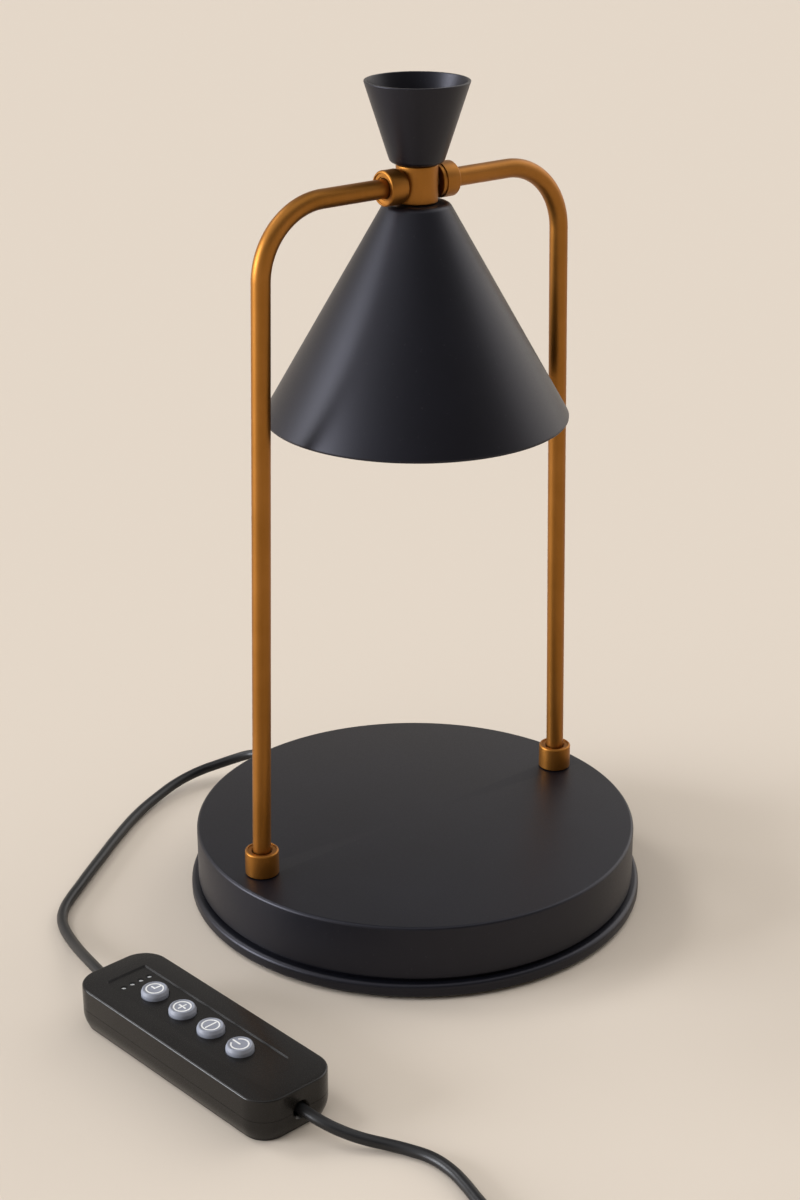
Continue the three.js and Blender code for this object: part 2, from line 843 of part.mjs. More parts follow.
function cordMouth() {
  const reach = controllerLength / 2 + overrun;
  const mouth = cylinder(cordMouthRadius, -reach, reach, tinySegments);
  return mouth.rotateY(rightAngle).translate(0, 0, partingHeight);
}

function caseCavity(bottom, top) {
  const inset = 2 * controllerWall + controllerDraft;
  const outline = roundedRectangle(
    controllerLength - inset,
    controllerWidth - inset,
    controllerCorner - controllerWall,
  );
  return extruded(outline, bottom, top);
}

function upperShell() {
  const inset = 2 * controllerEdge;
  const outline = roundedRectangle(
    controllerLength - inset,
    controllerWidth - inset,
    controllerCorner - controllerEdge,
  );
  const block = extruded(outline, controllerEdge, controllerHeight - controllerEdge, {
    bevelEnabled: true,
    bevelSize: controllerEdge,
    bevelThickness: controllerEdge,
    bevelSegments: 2,
  });
  const joint = partingHeight + gap / 2;
  const below = box(controllerLength + overrun, controllerWidth + overrun, -overrun, joint);
  const panelCut = extruded(
    roundedRectangle(panelLength, panelWidth, panelCorner),
    panelHeight,
    controllerHeight + overrun,
  ).translate(panelShift, 0, 0);
  const buttonHoles = buttonPlaces.map(([, x]) =>
    cylinder(buttonRadius + gap, panelUnder - overrun, controllerHeight + overrun).translate(x, 0, 0),
  );
  const ledHoles = ledPlaces.map((y) =>
    peg(ledRadius + gap, panelUnder - overrun, controllerHeight + overrun, ledPlace, y),
  );
  const bosses = caseScrewPlaces.map((place) =>
    peg(caseBossRadius, joint, panelHeight - panelDepth, ...place),
  );
  const bores = caseScrewPlaces.map((place) =>
    peg(caseScrewRadius + gap, partingHeight - overrun, caseScrewTop + gap, ...place),
  );
  const hollow = cut(block, below, caseCavity(-overrun, panelUnder));
  return cut(join(hollow, ...bosses), panelCut, cordMouth(), ...buttonHoles, ...ledHoles, ...bores);
}

function lowerShell() {
  const inset = 2 * controllerDraft;
  const outline = roundedRectangle(
    controllerLength - inset,
    controllerWidth - inset,
    controllerCorner - controllerDraft,
  );
  const block = extruded(outline, controllerDraftHeight, controllerHeight, {
    bevelEnabled: true,
    bevelSize: controllerDraft,
    bevelThickness: controllerDraftHeight,
    bevelSegments: 1,
  });
  const above = box(
    controllerLength + overrun,
    controllerWidth + overrun,
    partingHeight - gap / 2,
    controllerHeight + controllerDraftHeight + overrun,
  );
  const ribTop = boardHeight - gap;
  const ribLength = controllerWidth - 2 * controllerWall - controllerDraft;
  const ribs = [-ribPlace, ribPlace].map((x) =>
    box(ribThickness, ribLength, controllerWall / 2, ribTop).translate(x, 0, 0),
  );
  const bosses = caseScrewPlaces.map((place) =>
    peg(caseBossRadius, controllerWall / 2, partingHeight - gap / 2, ...place),
  );
  const seat = caseScrewHeadHeight + 2 * gap;
  const bores = caseScrewPlaces.flatMap((place) => [
    peg(caseScrewRadius + gap, -overrun, partingHeight + overrun, ...place),
    peg(caseScrewHeadRadius + gap, -overrun, seat, ...place),
  ]);
  const hollow = cut(block, above, caseCavity(controllerWall, partingHeight + overrun));
  return cut(join(hollow, ...ribs, ...bosses), cordMouth(), ...bores);
}

function caseScrew() {
  const headTop = gap + caseScrewHeadHeight;
  return turned(
    [
      [0, gap],
      [caseScrewHeadRadius, gap],
      [caseScrewHeadRadius, headTop],
      [caseScrewRadius, headTop],
      [caseScrewRadius, caseScrewTop],
      [0, caseScrewTop],
    ],
    tinySegments,
  );
}

// Circuit board with four switches under the buttons.
function controlBoard() {
  const board = box(boardLength, boardWidth, boardHeight, boardTop);
  const switches = buttonPlaces.flatMap(([, x]) => [
    box(switchWidth, switchWidth, boardTop - boardThickness / 2, switchTop).translate(x, 0, 0),
    peg(plungerRadius, boardTop, plungerTop, x, 0),
  ]);
  const notches = caseScrewPlaces.map((place) =>
    peg(caseBossRadius + boardNotchGap, boardHeight - overrun, boardTop + overrun, ...place),
  );
  return cut(join(board, ...switches), ...notches);
}

function lightGuide() {
  const top = panelUnder - gap;
  const length = (ledCount - 1) * ledPitch + 4 * ledRadius;
  const bar = box(guideWidth, length, top - guideHeight, top);
  const pips = ledPlaces.map((y) => peg(ledRadius, top - guideHeight / 2, panelHeight - gap / 2, 0, y));
  return join(bar, ...pips).translate([ledPlace, 0, 0]);
}

function button() {
  const top = panelHeight + buttonStand;
  return turned(
    [
      [0, buttonUnder],
      [buttonFlangeRadius, buttonUnder],
      [buttonFlangeRadius, buttonFlangeTop],
      [buttonRadius, buttonFlangeTop],
      ...arc([buttonRadius - buttonRound, top - buttonRound], buttonRound, 0, buttonRoundAngle),
      [0, top],
    ],
    smallSegments,
  );
}

function controllerParts() {
  add("controller_upper_shell", upperShell(), casePlastic, controller);
  add("controller_lower_shell", lowerShell(), casePlastic, controller);
  add("control_board", controlBoard(), boardGreen, controller);
  add("led_light_guide", lightGuide(), clearPlastic, controller);
  for (const [word, x] of buttonPlaces) {
    add(`${word}_button`, button(), buttonRubber, controller).position.x = x;
  }
  caseScrewPlaces.forEach(([x, y], i) => {
    add(`controller_screw_${i + 1}`, caseScrew(), steel, controller).position.set(x, y, 0);
  });
}

// Routes of the cord where it is not coiled, as points chosen by hand.
const baseCordPoints = [
  [0, 104.4, 12.2],
  [-0.5, 107.6, 11.5],
  [-2.4, 111.0, 10.2],
  [-6.0, 114.2, 8.5],
  [-11.6, 117.0, 6.8],
  [-20.4, 119.2, 5.2],
  [-31.0, 118.6, 3.9],
  [-43.0, 114.8, 2.8],
  [-56.2, 108.6, 2.1],
  [-72.4, 97.6, 2.0],
  [-89.3, 84.6, 2.0],
  [-98.0, 77.8, 2.0],
  [-106.0, 71.3, 2.0],
  [-113.6, 65.2, 2.0],
  [-119.6, 59.4, 2.0],
  [-123.8, 53.2, 2.1],
  [-126.6, 46.4, 2.4],
  [-128.8, 38.4, 3.0],
  [-131.0, 29.4, 4.2],
  [-133.2, 19.4, 5.9],
  [-135.0, 9.6, 7.3],
  [-136.1, 1.6, 7.9],
  [-136.8, -6.8, 8.0],
];
const plugCordPoints = [
  [-127.3, -99.8, 8.0],
  [-126.7, -106.4, 7.8],
  [-125.0, -112.6, 6.9],
  [-121.6, -118.4, 5.2],
  [-117.2, -123.8, 3.6],
  [-112.2, -129.4, 2.5],
  [-108.0, -135.6, 2.0],
  [-105.2, -142.4, 2.0],
  [-104.4, -150.4, 2.0],
  [-105.4, -159.0, 2.0],
  [-107.4, -168.0, 2.1],
  [-109.0, -178.0, 2.3],
  [-109.8, -188.0, 2.6],
  [-109.9, -197.4, 2.9],
];
const coilEndPoints = [
  [-148.6, -236.1, 15.3],
  [-155.0, -236.3, 14.9],
  [-160.6, -236.7, 13.2],
  [-166.4, -237.1, 10.6],
  [-172.0, -237.5, 8.5],
  [-178.0, -237.8, 7.6],
  [-183.0, -237.8, 7.5],
];

const vectors = (points) => points.map((place) => new THREE.Vector3(...place));

function cordParts() {
  add("base_cord", swept(vectors(baseCordPoints), cordRadius, 0, cordSides), cordJacket);
  const inside = vectors([
    [0, coverInner - 3 * gap - reliefFlangeHeight, cordExitHeight],
    [0, blockPlace + blockWidth / 2 + gap, cordExitHeight],
  ]);
  add("inner_cord", swept(inside, cordRadius, 0, cordSides), cordJacket);
  add("plug_cord", swept(vectors(plugCordPoints), cordRadius, 0, cordSides), cordJacket);
  add("cord_coil", coilRing(), cordJacket).position.set(coilX, coilY, 0);
  add("coil_tie", coilTie(), rubber).position.set(coilX, coilY, 0);
  add("coil_end_cord", swept(vectors(coilEndPoints), cordRadius, 0, cordSides), cordJacket);
}

// The outer shape of the spare cord, wound into a ring that lies on its tie.
function coilSection() {
  const pitch = 2 * cordRadius + coilTurnGap;
  const width = (coilTurnsWide - 1) * pitch + 2 * cordRadius;
  const height = (coilTurnsHigh - 1) * pitch + 2 * cordRadius;
  return { width, height, bottom: tieThickness + gap };
}

function coilRing() {
  const { width, height, bottom } = coilSection();
  const [inner, outer, top] = [coilRadius - width / 2, coilRadius + width / 2, bottom + height];
  return turned(
    [
      [inner, bottom + cordRadius],
      [inner + cordRadius, bottom],
      [outer - cordRadius, bottom],
      [outer, bottom + cordRadius],
      [outer, top - cordRadius],
      [outer - cordRadius, top],
      [inner + cordRadius, top],
      [inner, top - cordRadius],
    ],
    midSegments,
  );
}

// Band round the turns, made as a flat frame in the XZ plane and turned to its place on the ring.
function coilTie() {
  const { width, height, bottom } = coilSection();
  const inside = width / 2 + tieSlack;
  const outside = inside + tieThickness;
  const [low, high] = [tieThickness, bottom + height + gap];
  const frame = new THREE.Shape();
  frame.moveTo(coilRadius - outside, 0);
  frame.lineTo(coilRadius + outside, 0);
  frame.lineTo(coilRadius + outside, high + tieThickness);
  frame.lineTo(coilRadius - outside, high + tieThickness);
  const hole = new THREE.Path();
  hole.moveTo(coilRadius - inside, low);
  hole.lineTo(coilRadius - inside, high);
  hole.lineTo(coilRadius + inside, high);
  hole.lineTo(coilRadius + inside, low);
  frame.holes.push(hole);
  const band = extruded(frame, -tieWidth / 2, tieWidth / 2);
  return band.rotateX(rightAngle).rotateZ(THREE.MathUtils.degToRad(tieAngle));
}

// Plug with two flat blades, made along its own X axis with the cord at x = 0.
const plug = new THREE.Group();
plug.position.set(...coilEndPoints.at(-1));
plug.rotation.z = Math.PI;
lamp.add(plug);

const plugFace = gap + plugReliefLength + gap + plugLength;

function alongX(geometry) {
  return geometry.rotateY(rightAngle);
}

function plugRelief() {
  const length = gap + plugReliefLength;
  const outline = [
    [0, gap],
    [reliefTipRadius, gap],
    [plugReliefRadius, length - plugReliefNeck],
    [plugReliefRadius, length],
    [0, length],
  ];
  return alongX(turned(outline, smallSegments));
}

function plugBody() {
  const inset = 2 * plugEdge;
  const section = roundedRectangle(plugHeight - inset, plugWidth - inset, plugCorner - plugEdge);
  const body = extruded(section, plugFace - plugLength + plugEdge, plugFace - plugEdge, {
    bevelEnabled: true,
    bevelSize: plugEdge,
    bevelThickness: plugEdge,
    bevelSegments: 2,
  });
  const depth = bladeInset + gap;
  const pockets = [-1, 1].map((side) =>
    bladeBox(2 * gap, plugFace - depth, plugFace + overrun).translate(0, (side * bladeSpacing) / 2, 0),
  );
  return cut(alongX(body), ...pockets);
}

// A blade's block from one place along X to another, larger all round by half of the given room.
function bladeBox(room, from, to) {
  const length = to - from;
  const block = new THREE.BoxGeometry(length, bladeThickness + room, bladeWidth + room);
  return block.translate(from + length / 2, 0, 0);
}

function plugParts() {
  add("plug_strain_relief", plugRelief(), rubber, plug);
  add("plug_body", plugBody(), rubber, plug);
  for (const [side, word] of [[-1, "a"], [1, "b"]]) {
    const blade = bladeBox(0, plugFace - bladeInset, plugFace + bladeLength);
    add(`plug_blade_${word}`, blade, steel, plug).position.y = (side * bladeSpacing) / 2;
  }
}

baseParts();
frameParts();
headParts();
controllerParts();
cordParts();
plugParts();

export default lamp;
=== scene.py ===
import json
import math

import bmesh
import bpy
from mathutils import Euler, Matrix, Vector


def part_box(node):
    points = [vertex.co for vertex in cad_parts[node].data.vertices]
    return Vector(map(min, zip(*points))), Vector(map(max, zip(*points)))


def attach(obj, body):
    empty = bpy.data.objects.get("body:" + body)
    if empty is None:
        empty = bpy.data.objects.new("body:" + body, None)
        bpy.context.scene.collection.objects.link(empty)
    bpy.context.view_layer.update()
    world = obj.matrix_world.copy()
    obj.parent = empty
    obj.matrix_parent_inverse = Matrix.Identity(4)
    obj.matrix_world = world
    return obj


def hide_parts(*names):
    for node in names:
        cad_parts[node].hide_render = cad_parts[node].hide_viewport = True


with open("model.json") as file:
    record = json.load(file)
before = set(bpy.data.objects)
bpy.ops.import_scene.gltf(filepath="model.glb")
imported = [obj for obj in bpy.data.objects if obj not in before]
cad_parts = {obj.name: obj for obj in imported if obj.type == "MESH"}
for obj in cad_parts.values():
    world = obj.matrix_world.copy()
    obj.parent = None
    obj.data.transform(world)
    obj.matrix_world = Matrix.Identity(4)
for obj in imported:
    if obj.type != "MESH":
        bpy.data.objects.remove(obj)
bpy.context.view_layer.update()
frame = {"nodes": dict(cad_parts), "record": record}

# Lengths are in metres. Angles are in radians, but for those of the suns and the coil, in degrees.

# Camera.
CAMERA_PLACE = (-0.4668, -0.5925, 0.4286)
CAMERA_DOWN = 0.3928
CAMERA_HEADING = 0.6597
CAMERA_LENS = 67.32

# Floor, and a band of its tone round the horizon, so that low views have an even backdrop. The band
# fades out between two heights, given as the Z of a direction.
FLOOR_SIZE = 14
FLOOR_COLOUR = (0.665, 0.589, 0.5)
HORIZON_COLOUR = (0.775, 0.686, 0.584)
HORIZON_TOP = 0.24
HORIZON_FADE = 0.40

# The room's tones: stops of (place, colour) from the side away from BRIGHT_SIDE (0) towards it (1).
BRIGHT_SIDE = (0.13, 0.74, 0.66)
DARK_STOP = (0.47, (0.04, 0.04, 0.045))
MIDDLE_STOP = (0.57, (0.66, 0.66, 0.68))
BRIGHT_STOP = (0.78, (1.38, 1.36, 1.35))
BACK_STOP = (0.95, (0.40, 0.39, 0.38))

# Suns. Each heading is where the light comes from, clockwise from +Y.
KEY_SUN = {"heading": -61, "height": 8, "angle": 34, "strength": 4.8, "colour": (0.90, 0.93, 1)}
EDGE_SUN = {"heading": -22, "height": 45, "angle": 18, "strength": 0.6, "colour": (0.97, 0.98, 1)}
FILL_SUN = {"heading": 92, "height": 25, "angle": 60, "strength": 0.8, "colour": (1, 0.97, 0.94)}

# How finely round shapes are made.
WIDE_SEGMENTS = 192
MID_SEGMENTS = 96
SMALL_SEGMENTS = 48
ARC_STEPS = 6
CORNER_STEPS = 12
SHARP_ANGLE = math.radians(32)
TINY = 1e-6
QUARTER = math.pi / 2

# Base.
SCREW_COUNT = 4
FOOT_COUNT = 4
PAN_UNDER = 0.0044
PAN_TOP = 0.006
FLANGE_WIDTH = 0.006
FLANGE_ROUND = 0.0016
SPIGOT_RADIUS = 0.081
SPIGOT_WALL = 0.0018
COVER_WALL = 0.0011
COVER_ROUND = 0.0012
EDGE_ROUND = 0.0003
SCREW_HOLE = 0.0021
FOOT_ROUND = 0.0008
FOOT_CUP_RADIUS = 0.0045
FOOT_CUP_DEPTH = 0.0005
SPAN = 0.004

# Frame.
TUBE_RADIUS = 0.0033
TUBE_BORE = 0.0023
TUBE_FOOT = 0.021
TUBE_END = 0.0117
BEND_RADIUS = 0.025
BEND_STEPS = 32
POST_LEAN = math.radians(1.5)
ARM_HEIGHT = 0.2685
SLEEVE_RADIUS = 0.0061
SLEEVE_BORE = 0.0036
SLEEVE_ROUND = 0.0007
SLEEVE_LIP = 0.0009
SLEEVE_STEP = 0.0004
SLEEVE_MOUTH = 0.0039
SLEEVE_DEPTH = 0.0008
SLEEVE_WALL = 0.0016
COLLAR_BAND = 0.0015
COLLAR_STEP = 0.0004
PIN_HOLE = 0.0025

# Head.
HUB_ROUND = 0.0005
HUB_BORE = 0.0042
HUB_SCREW_BORE = 0.0027
HUB_FLOOR = 0.2704
FUNNEL_WALL = 0.001
FUNNEL_FOOT = 0.0091
FUNNEL_ROUND = 0.0022
FUNNEL_BORE = 0.0027
SHADE_WALL = 0.0009
SHADE_SHOULDER = 0.0113
SHADE_ROUND = 0.0026
SHADE_HEM = 0.0008
SHADE_BORE = 0.0042
HOLDER_ROUND = 0.001
SOCKET_RADIUS = 0.0027
SOCKET_PLACE = 0.005
SOCKET_DEPTH = 0.006
BULB_NECK = 0.0095
BULB_BASE_HEIGHT = 0.01
BULB_WALL = 0.0014
BULB_STEPS = 28
LENS_ROUND = 0.0005
CAPSULE_ROUND_SHARE = 0.9

# Controller, in its own frame: +X runs from the base cord's end to the plug cord's end.
CASE_LENGTH = 0.101
CASE_WIDTH = 0.033
CASE_CORNER = 0.0095
CASE_EDGE = 0.0007
CASE_DRAFT = 0.0015
CASE_DRAFT_HEIGHT = 0.006
CASE_FOOT_ROUND = 0.0006
SEAT_ROOM = 0.0001
CASE_SEAM = 0.00012
CASE_WALL = 0.0016
PANEL_LENGTH = 0.077
PANEL_WIDTH = 0.0165
PANEL_CORNER = 0.0008
PANEL_DEPTH = 0.0005
PANEL_SLOPE = 0.00045
PANEL_SHIFT = -0.0032
BUTTON_HOLE = 0.005
BUTTON_FLANGE = 0.0057
BUTTON_FLANGE_HEIGHT = 0.001
BUTTON_RADIUS = 0.0047
BUTTON_SHOULDER = 0.0012
BUTTON_ROUND = 0.0007
BUTTON_TOP = 0.0042
BUTTON_DISC = 0.0038
BUTTON_DISC_DEPTH = 0.0002
PRINT_HEIGHT = 0.00006
LED_HOLE = 0.001
LED_RADIUS = 0.00085
LED_DROP = 0.0004
LED_PLACE = -0.0354
LED_PITCH = 0.0036
LED_COUNT = 4
LED_BAR_WIDTH = 0.0026
LED_BAR_HEIGHT = 0.0012
CORD_MOUTH = 0.0026
MOUTH_HEIGHT = 0.008
MOUTH_FLARE = 0.0008

# Marks on the buttons. Their up is the controller's -X.
RING_OUTER = 0.0032
RING_INNER = 0.00265
STROKE = 0.0006
STROKE_CORNER = 0.49 * STROKE
PLUS_REACH = 0.0015
MINUS_REACH = 0.0021
HAND_REACHES = (0.0016, 0.0023)
POWER_GAP = math.radians(30)
POWER_REACH = 0.0034

# Cords.
CORD_RADIUS = 0.002
CORD_SMOOTHNESS = 4
BASE_CORD_POINTS = [
    (0, 0.1044, 0.0122),
    (-0.0005, 0.1076, 0.0115),
    (-0.0024, 0.1110, 0.0102),
    (-0.0060, 0.1142, 0.0085),
    (-0.0116, 0.1170, 0.0068),
    (-0.0204, 0.1192, 0.0052),
    (-0.0310, 0.1186, 0.0039),
    (-0.0430, 0.1148, 0.0028),
    (-0.0562, 0.1086, 0.0021),
    (-0.0724, 0.0976, 0.0020),
    (-0.0893, 0.0846, 0.0020),
    (-0.0980, 0.0778, 0.0020),
    (-0.1060, 0.0713, 0.0020),
    (-0.1136, 0.0652, 0.0020),
    (-0.1196, 0.0594, 0.0020),
    (-0.1238, 0.0532, 0.0021),
    (-0.1266, 0.0464, 0.0024),
    (-0.1288, 0.0384, 0.0030),
    (-0.1310, 0.0294, 0.0042),
    (-0.1332, 0.0194, 0.0059),
    (-0.1350, 0.0096, 0.0073),
    (-0.1361, 0.0016, 0.0079),
    (-0.1368, -0.0068, 0.0080),
]
PLUG_CORD_POINTS = [
    (-0.1273, -0.0998, 0.0080),
    (-0.1267, -0.1064, 0.0078),
    (-0.1250, -0.1126, 0.0069),
    (-0.1216, -0.1184, 0.0052),
    (-0.1172, -0.1238, 0.0036),
    (-0.1122, -0.1294, 0.0025),
    (-0.1080, -0.1356, 0.0020),
    (-0.1052, -0.1424, 0.0020),
    (-0.1044, -0.1504, 0.0020),
    (-0.1054, -0.1590, 0.0020),
    (-0.1074, -0.1680, 0.0021),
    (-0.1090, -0.1780, 0.0023),
    (-0.1098, -0.1880, 0.0026),
    (-0.1099, -0.1974, 0.0029),
]
COIL_END_POINTS = [
    (-0.1486, -0.2361, 0.0153),
    (-0.1550, -0.2363, 0.0149),
    (-0.1606, -0.2367, 0.0132),
    (-0.1664, -0.2371, 0.0106),
    (-0.1720, -0.2375, 0.0085),
    (-0.1780, -0.2378, 0.0076),
    (-0.1830, -0.2378, 0.0075),
]

# Coil of spare cord, and its tie.
COIL_CENTRE = (-0.134, -0.212)
COIL_RADII = (0.02415, 0.02, 0.01585)
COIL_ROW_HEIGHTS = (0.0029, 0.00705, 0.0112, 0.01535)
COIL_END_ANGLE = 4050
COIL_WINDOW = 38
COIL_STEP = 15
FULL_TURN = 360
TIE_WIDTH = 0.005
TIE_THICKNESS = 0.0006
TIE_ROUND = 0.0018
TIE_ROOM = 0.001

# Cord fittings and plug.
RELIEF_RIBS = 6
RELIEF_GROOVE = 0.0005
RELIEF_TIP = 0.0027
RELIEF_RADIUS = 0.0037
RELIEF_FLANGE = 0.0054
RELIEF_FLANGE_HEIGHT = 0.0012
RELIEF_HEIGHT = 0.0122
PLUG_RELIEF_RADIUS = 0.0036
PLUG_CORNER = 0.005
PLUG_EDGE = 0.0015
BLADE_ROUND = 0.0009
BLADE_HOLE = 0.0016
BLADE_HOLE_INSET = 2.5 * BLADE_HOLE


# Shapes, as bmesh.
def rounded(corners):
    """The outline through corners of (x, z, radius), each turned into an arc of its radius."""
    points = []
    for i, (x, z, radius) in enumerate(corners):
        here = Vector((x, z))
        if not radius:
            points.append(here)
            continue
        before = (Vector(corners[i - 1][:2]) - here).normalized()
        after = (Vector(corners[(i + 1) % len(corners)][:2]) - here).normalized()
        half = before.angle(after) / 2
        centre = here + (before + after).normalized() * radius / math.sin(half)
        start = here + before * radius / math.tan(half) - centre
        end = here + after * radius / math.tan(half) - centre
        for step in range(ARC_STEPS + 1):
            points.append(centre + radius * start.lerp(end, step / ARC_STEPS).normalized())
    return points


def bridge(shape, first, second):
    """Faces between two closed rows of vertices; a row on the axis is one vertex repeated."""
    for i, vert in enumerate(first):
        j = (i + 1) % len(first)
        loop = []
        for corner in (vert, first[j], second[j], second[i]):
            if corner not in loop:
                loop.append(corner)
        if len(loop) > 2:
            shape.faces.new(loop)


def turned(corners, segments=MID_SEGMENTS):
    """A shape turned about Z from its outline. One that leaves the axis is closed on itself."""
    shape = bmesh.new()
    rows = []
    for radius, height in rounded(corners):
        if radius < TINY:
            rows.append([shape.verts.new((0, 0, height))] * segments)
            continue
        turns = [2 * math.pi * i / segments for i in range(segments)]
        ring = [(radius * math.cos(a), radius * math.sin(a), height) for a in turns]
        rows.append([shape.verts.new(point) for point in ring])
    for first, second in zip(rows, rows[1:]):
        bridge(shape, first, second)
    if corners[0][0] > TINY:
        bridge(shape, rows[-1], rows[0])
    return shape


def cylinder(radius, bottom, top):
    """A small solid cylinder about Z."""
    corners = [(0, bottom, 0), (radius, bottom, 0), (radius, top, 0), (0, top, 0)]
    return turned(corners, SMALL_SEGMENTS)


def lofted(rings):
    """A solid through rings with the same number of points, closed at both ends."""
    shape = bmesh.new()
    rows = [[shape.verts.new(point) for point in ring] for ring in rings]
    for first, second in zip(rows, rows[1:]):
        bridge(shape, first, second)
    shape.faces.new(rows[0])
    shape.faces.new(rows[-1])
    return shape


def rectangle_ring(length, width, corner, height, shift=0):
    """Points round a rectangle with round corners, at one height."""
    points = []
    for quarter, (across, along) in enumerate(((1, -1), (1, 1), (-1, 1), (-1, -1))):
        x = across * (length / 2 - corner) + shift
        y = along * (width / 2 - corner)
        for step in range(CORNER_STEPS + 1):
            angle = QUARTER * (quarter - 1 + step / CORNER_STEPS)
            points.append((x + corner * math.cos(angle), y + corner * math.sin(angle), height))
    return points


def block(length, width, corner, bottom, top, shift=0):
    """An upright block with round corners."""
    heights = (bottom, top)
    return lofted([rectangle_ring(length, width, corner, height, shift) for height in heights])


def piped(points, radius, bore, sides):
    """A pipe through points in the XZ plane."""
    shape = bmesh.new()
    walls = {radius: [], bore: []}
    across = Vector((0, 1, 0))
    for i, here in enumerate(points):
        ahead = (points[min(i + 1, len(points) - 1)] - points[max(i - 1, 0)]).normalized()
        out = ahead.cross(across)
        for reach, rows in walls.items():
            turns = [2 * math.pi * side / sides for side in range(sides)]
            ring = [here + reach * (math.cos(a) * across + math.sin(a) * out) for a in turns]
            rows.append([shape.verts.new(point) for point in ring])
    for rows in walls.values():
        for first, second in zip(rows, rows[1:]):
            bridge(shape, first, second)
    for end in (0, -1):
        bridge(shape, walls[radius][end], walls[bore][end])
    return shape


def moved(shape, matrix):
    bmesh.ops.transform(shape, matrix=matrix, verts=shape.verts)
    return shape


def at(x=0, y=0, z=0):
    return Matrix.Translation((x, y, z))


def turn(angle, axis):
    return Matrix.Rotation(angle, 4, axis)


def joined(*shapes):
    """Shapes that don't touch, as one."""
    whole = shapes[0]
    for shape in shapes[1:]:
        mesh = bpy.data.meshes.new("part")
        shape.to_mesh(mesh)
        whole.from_mesh(mesh)
        shape.free()
        bpy.data.meshes.remove(mesh)
    return whole


def loose(shape):
    """A passing object made from a shape, for a boolean."""
    bmesh.ops.recalc_face_normals(shape, faces=shape.faces)
    mesh = bpy.data.meshes.new("part")
    shape.to_mesh(mesh)
    shape.free()
    made = bpy.data.objects.new("part", mesh)
    bpy.context.collection.objects.link(made)
    return made


def combined(operation, shape, *others):
    """The boolean of a shape with others, which are used up."""
    body = loose(shape)
    tools = [loose(other) for other in others]
    for tool in tools:
        modifier = body.modifiers.new("part", "BOOLEAN")
        modifier.operation = operation
        modifier.object = tool
        modifier.solver = "EXACT"
    result = bmesh.new()
    result.from_object(body, bpy.context.evaluated_depsgraph_get())
    for made in (body, *tools):
        mesh = made.data
        bpy.data.objects.remove(made)
        bpy.data.meshes.remove(mesh)
    return result


def carved(shape, *cutters):
    return combined("DIFFERENCE", shape, *cutters)


def piece(name, shape, slot, body="stand", replaces=()):
    """Turns a shape into a piece of the object, smooth but for its sharp edges."""
    bmesh.ops.remove_doubles(shape, verts=shape.verts, dist=TINY)
    bmesh.ops.recalc_face_normals(shape, faces=shape.faces)
    for face in shape.faces:
        face.smooth = True
    for edge in shape.edges:
        edge.smooth = len(edge.link_faces) == 2 and edge.calc_face_angle() < SHARP_ANGLE
    mesh = bpy.data.meshes.new(name)
    shape.to_mesh(mesh)
    shape.free()
    placed(name, mesh, slot, body, replaces)


def placed(name, data, slot, body, replaces):
    """An object of the part, with its material, its body and the CAD nodes that it stands for."""
    made = bpy.data.objects.new(name, data)
    bpy.context.collection.objects.link(made)
    data.materials.append(materials[slot])
    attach(made, body)
    if replaces:
        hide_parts(*replaces)
    return made


def middle(node):
    """The middle of a CAD node's box."""
    low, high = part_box(node)
    return (Vector(low) + Vector(high)) / 2


# Materials.
NOISE_RANGE = (0.3, 0.7)
SPECK_SCALE = 900
SPECK_DETAIL = 1
SPECK_STOPS = ((0.72, (0, 0, 0)), (0.78, (0.3, 0.3, 0.3)))
SPECK_COLOUR = (0.03, 0.03, 0.034, 1)
STREAK_SCALE = 1400
STREAK_STRETCH = (1, 1, 0.03)
STREAK_STOPS = ((0.45, (0, 0, 0)), (0.75, (0.35, 0.35, 0.35)))
STREAK_COLOUR = (0.33, 0.14, 0.034, 1)

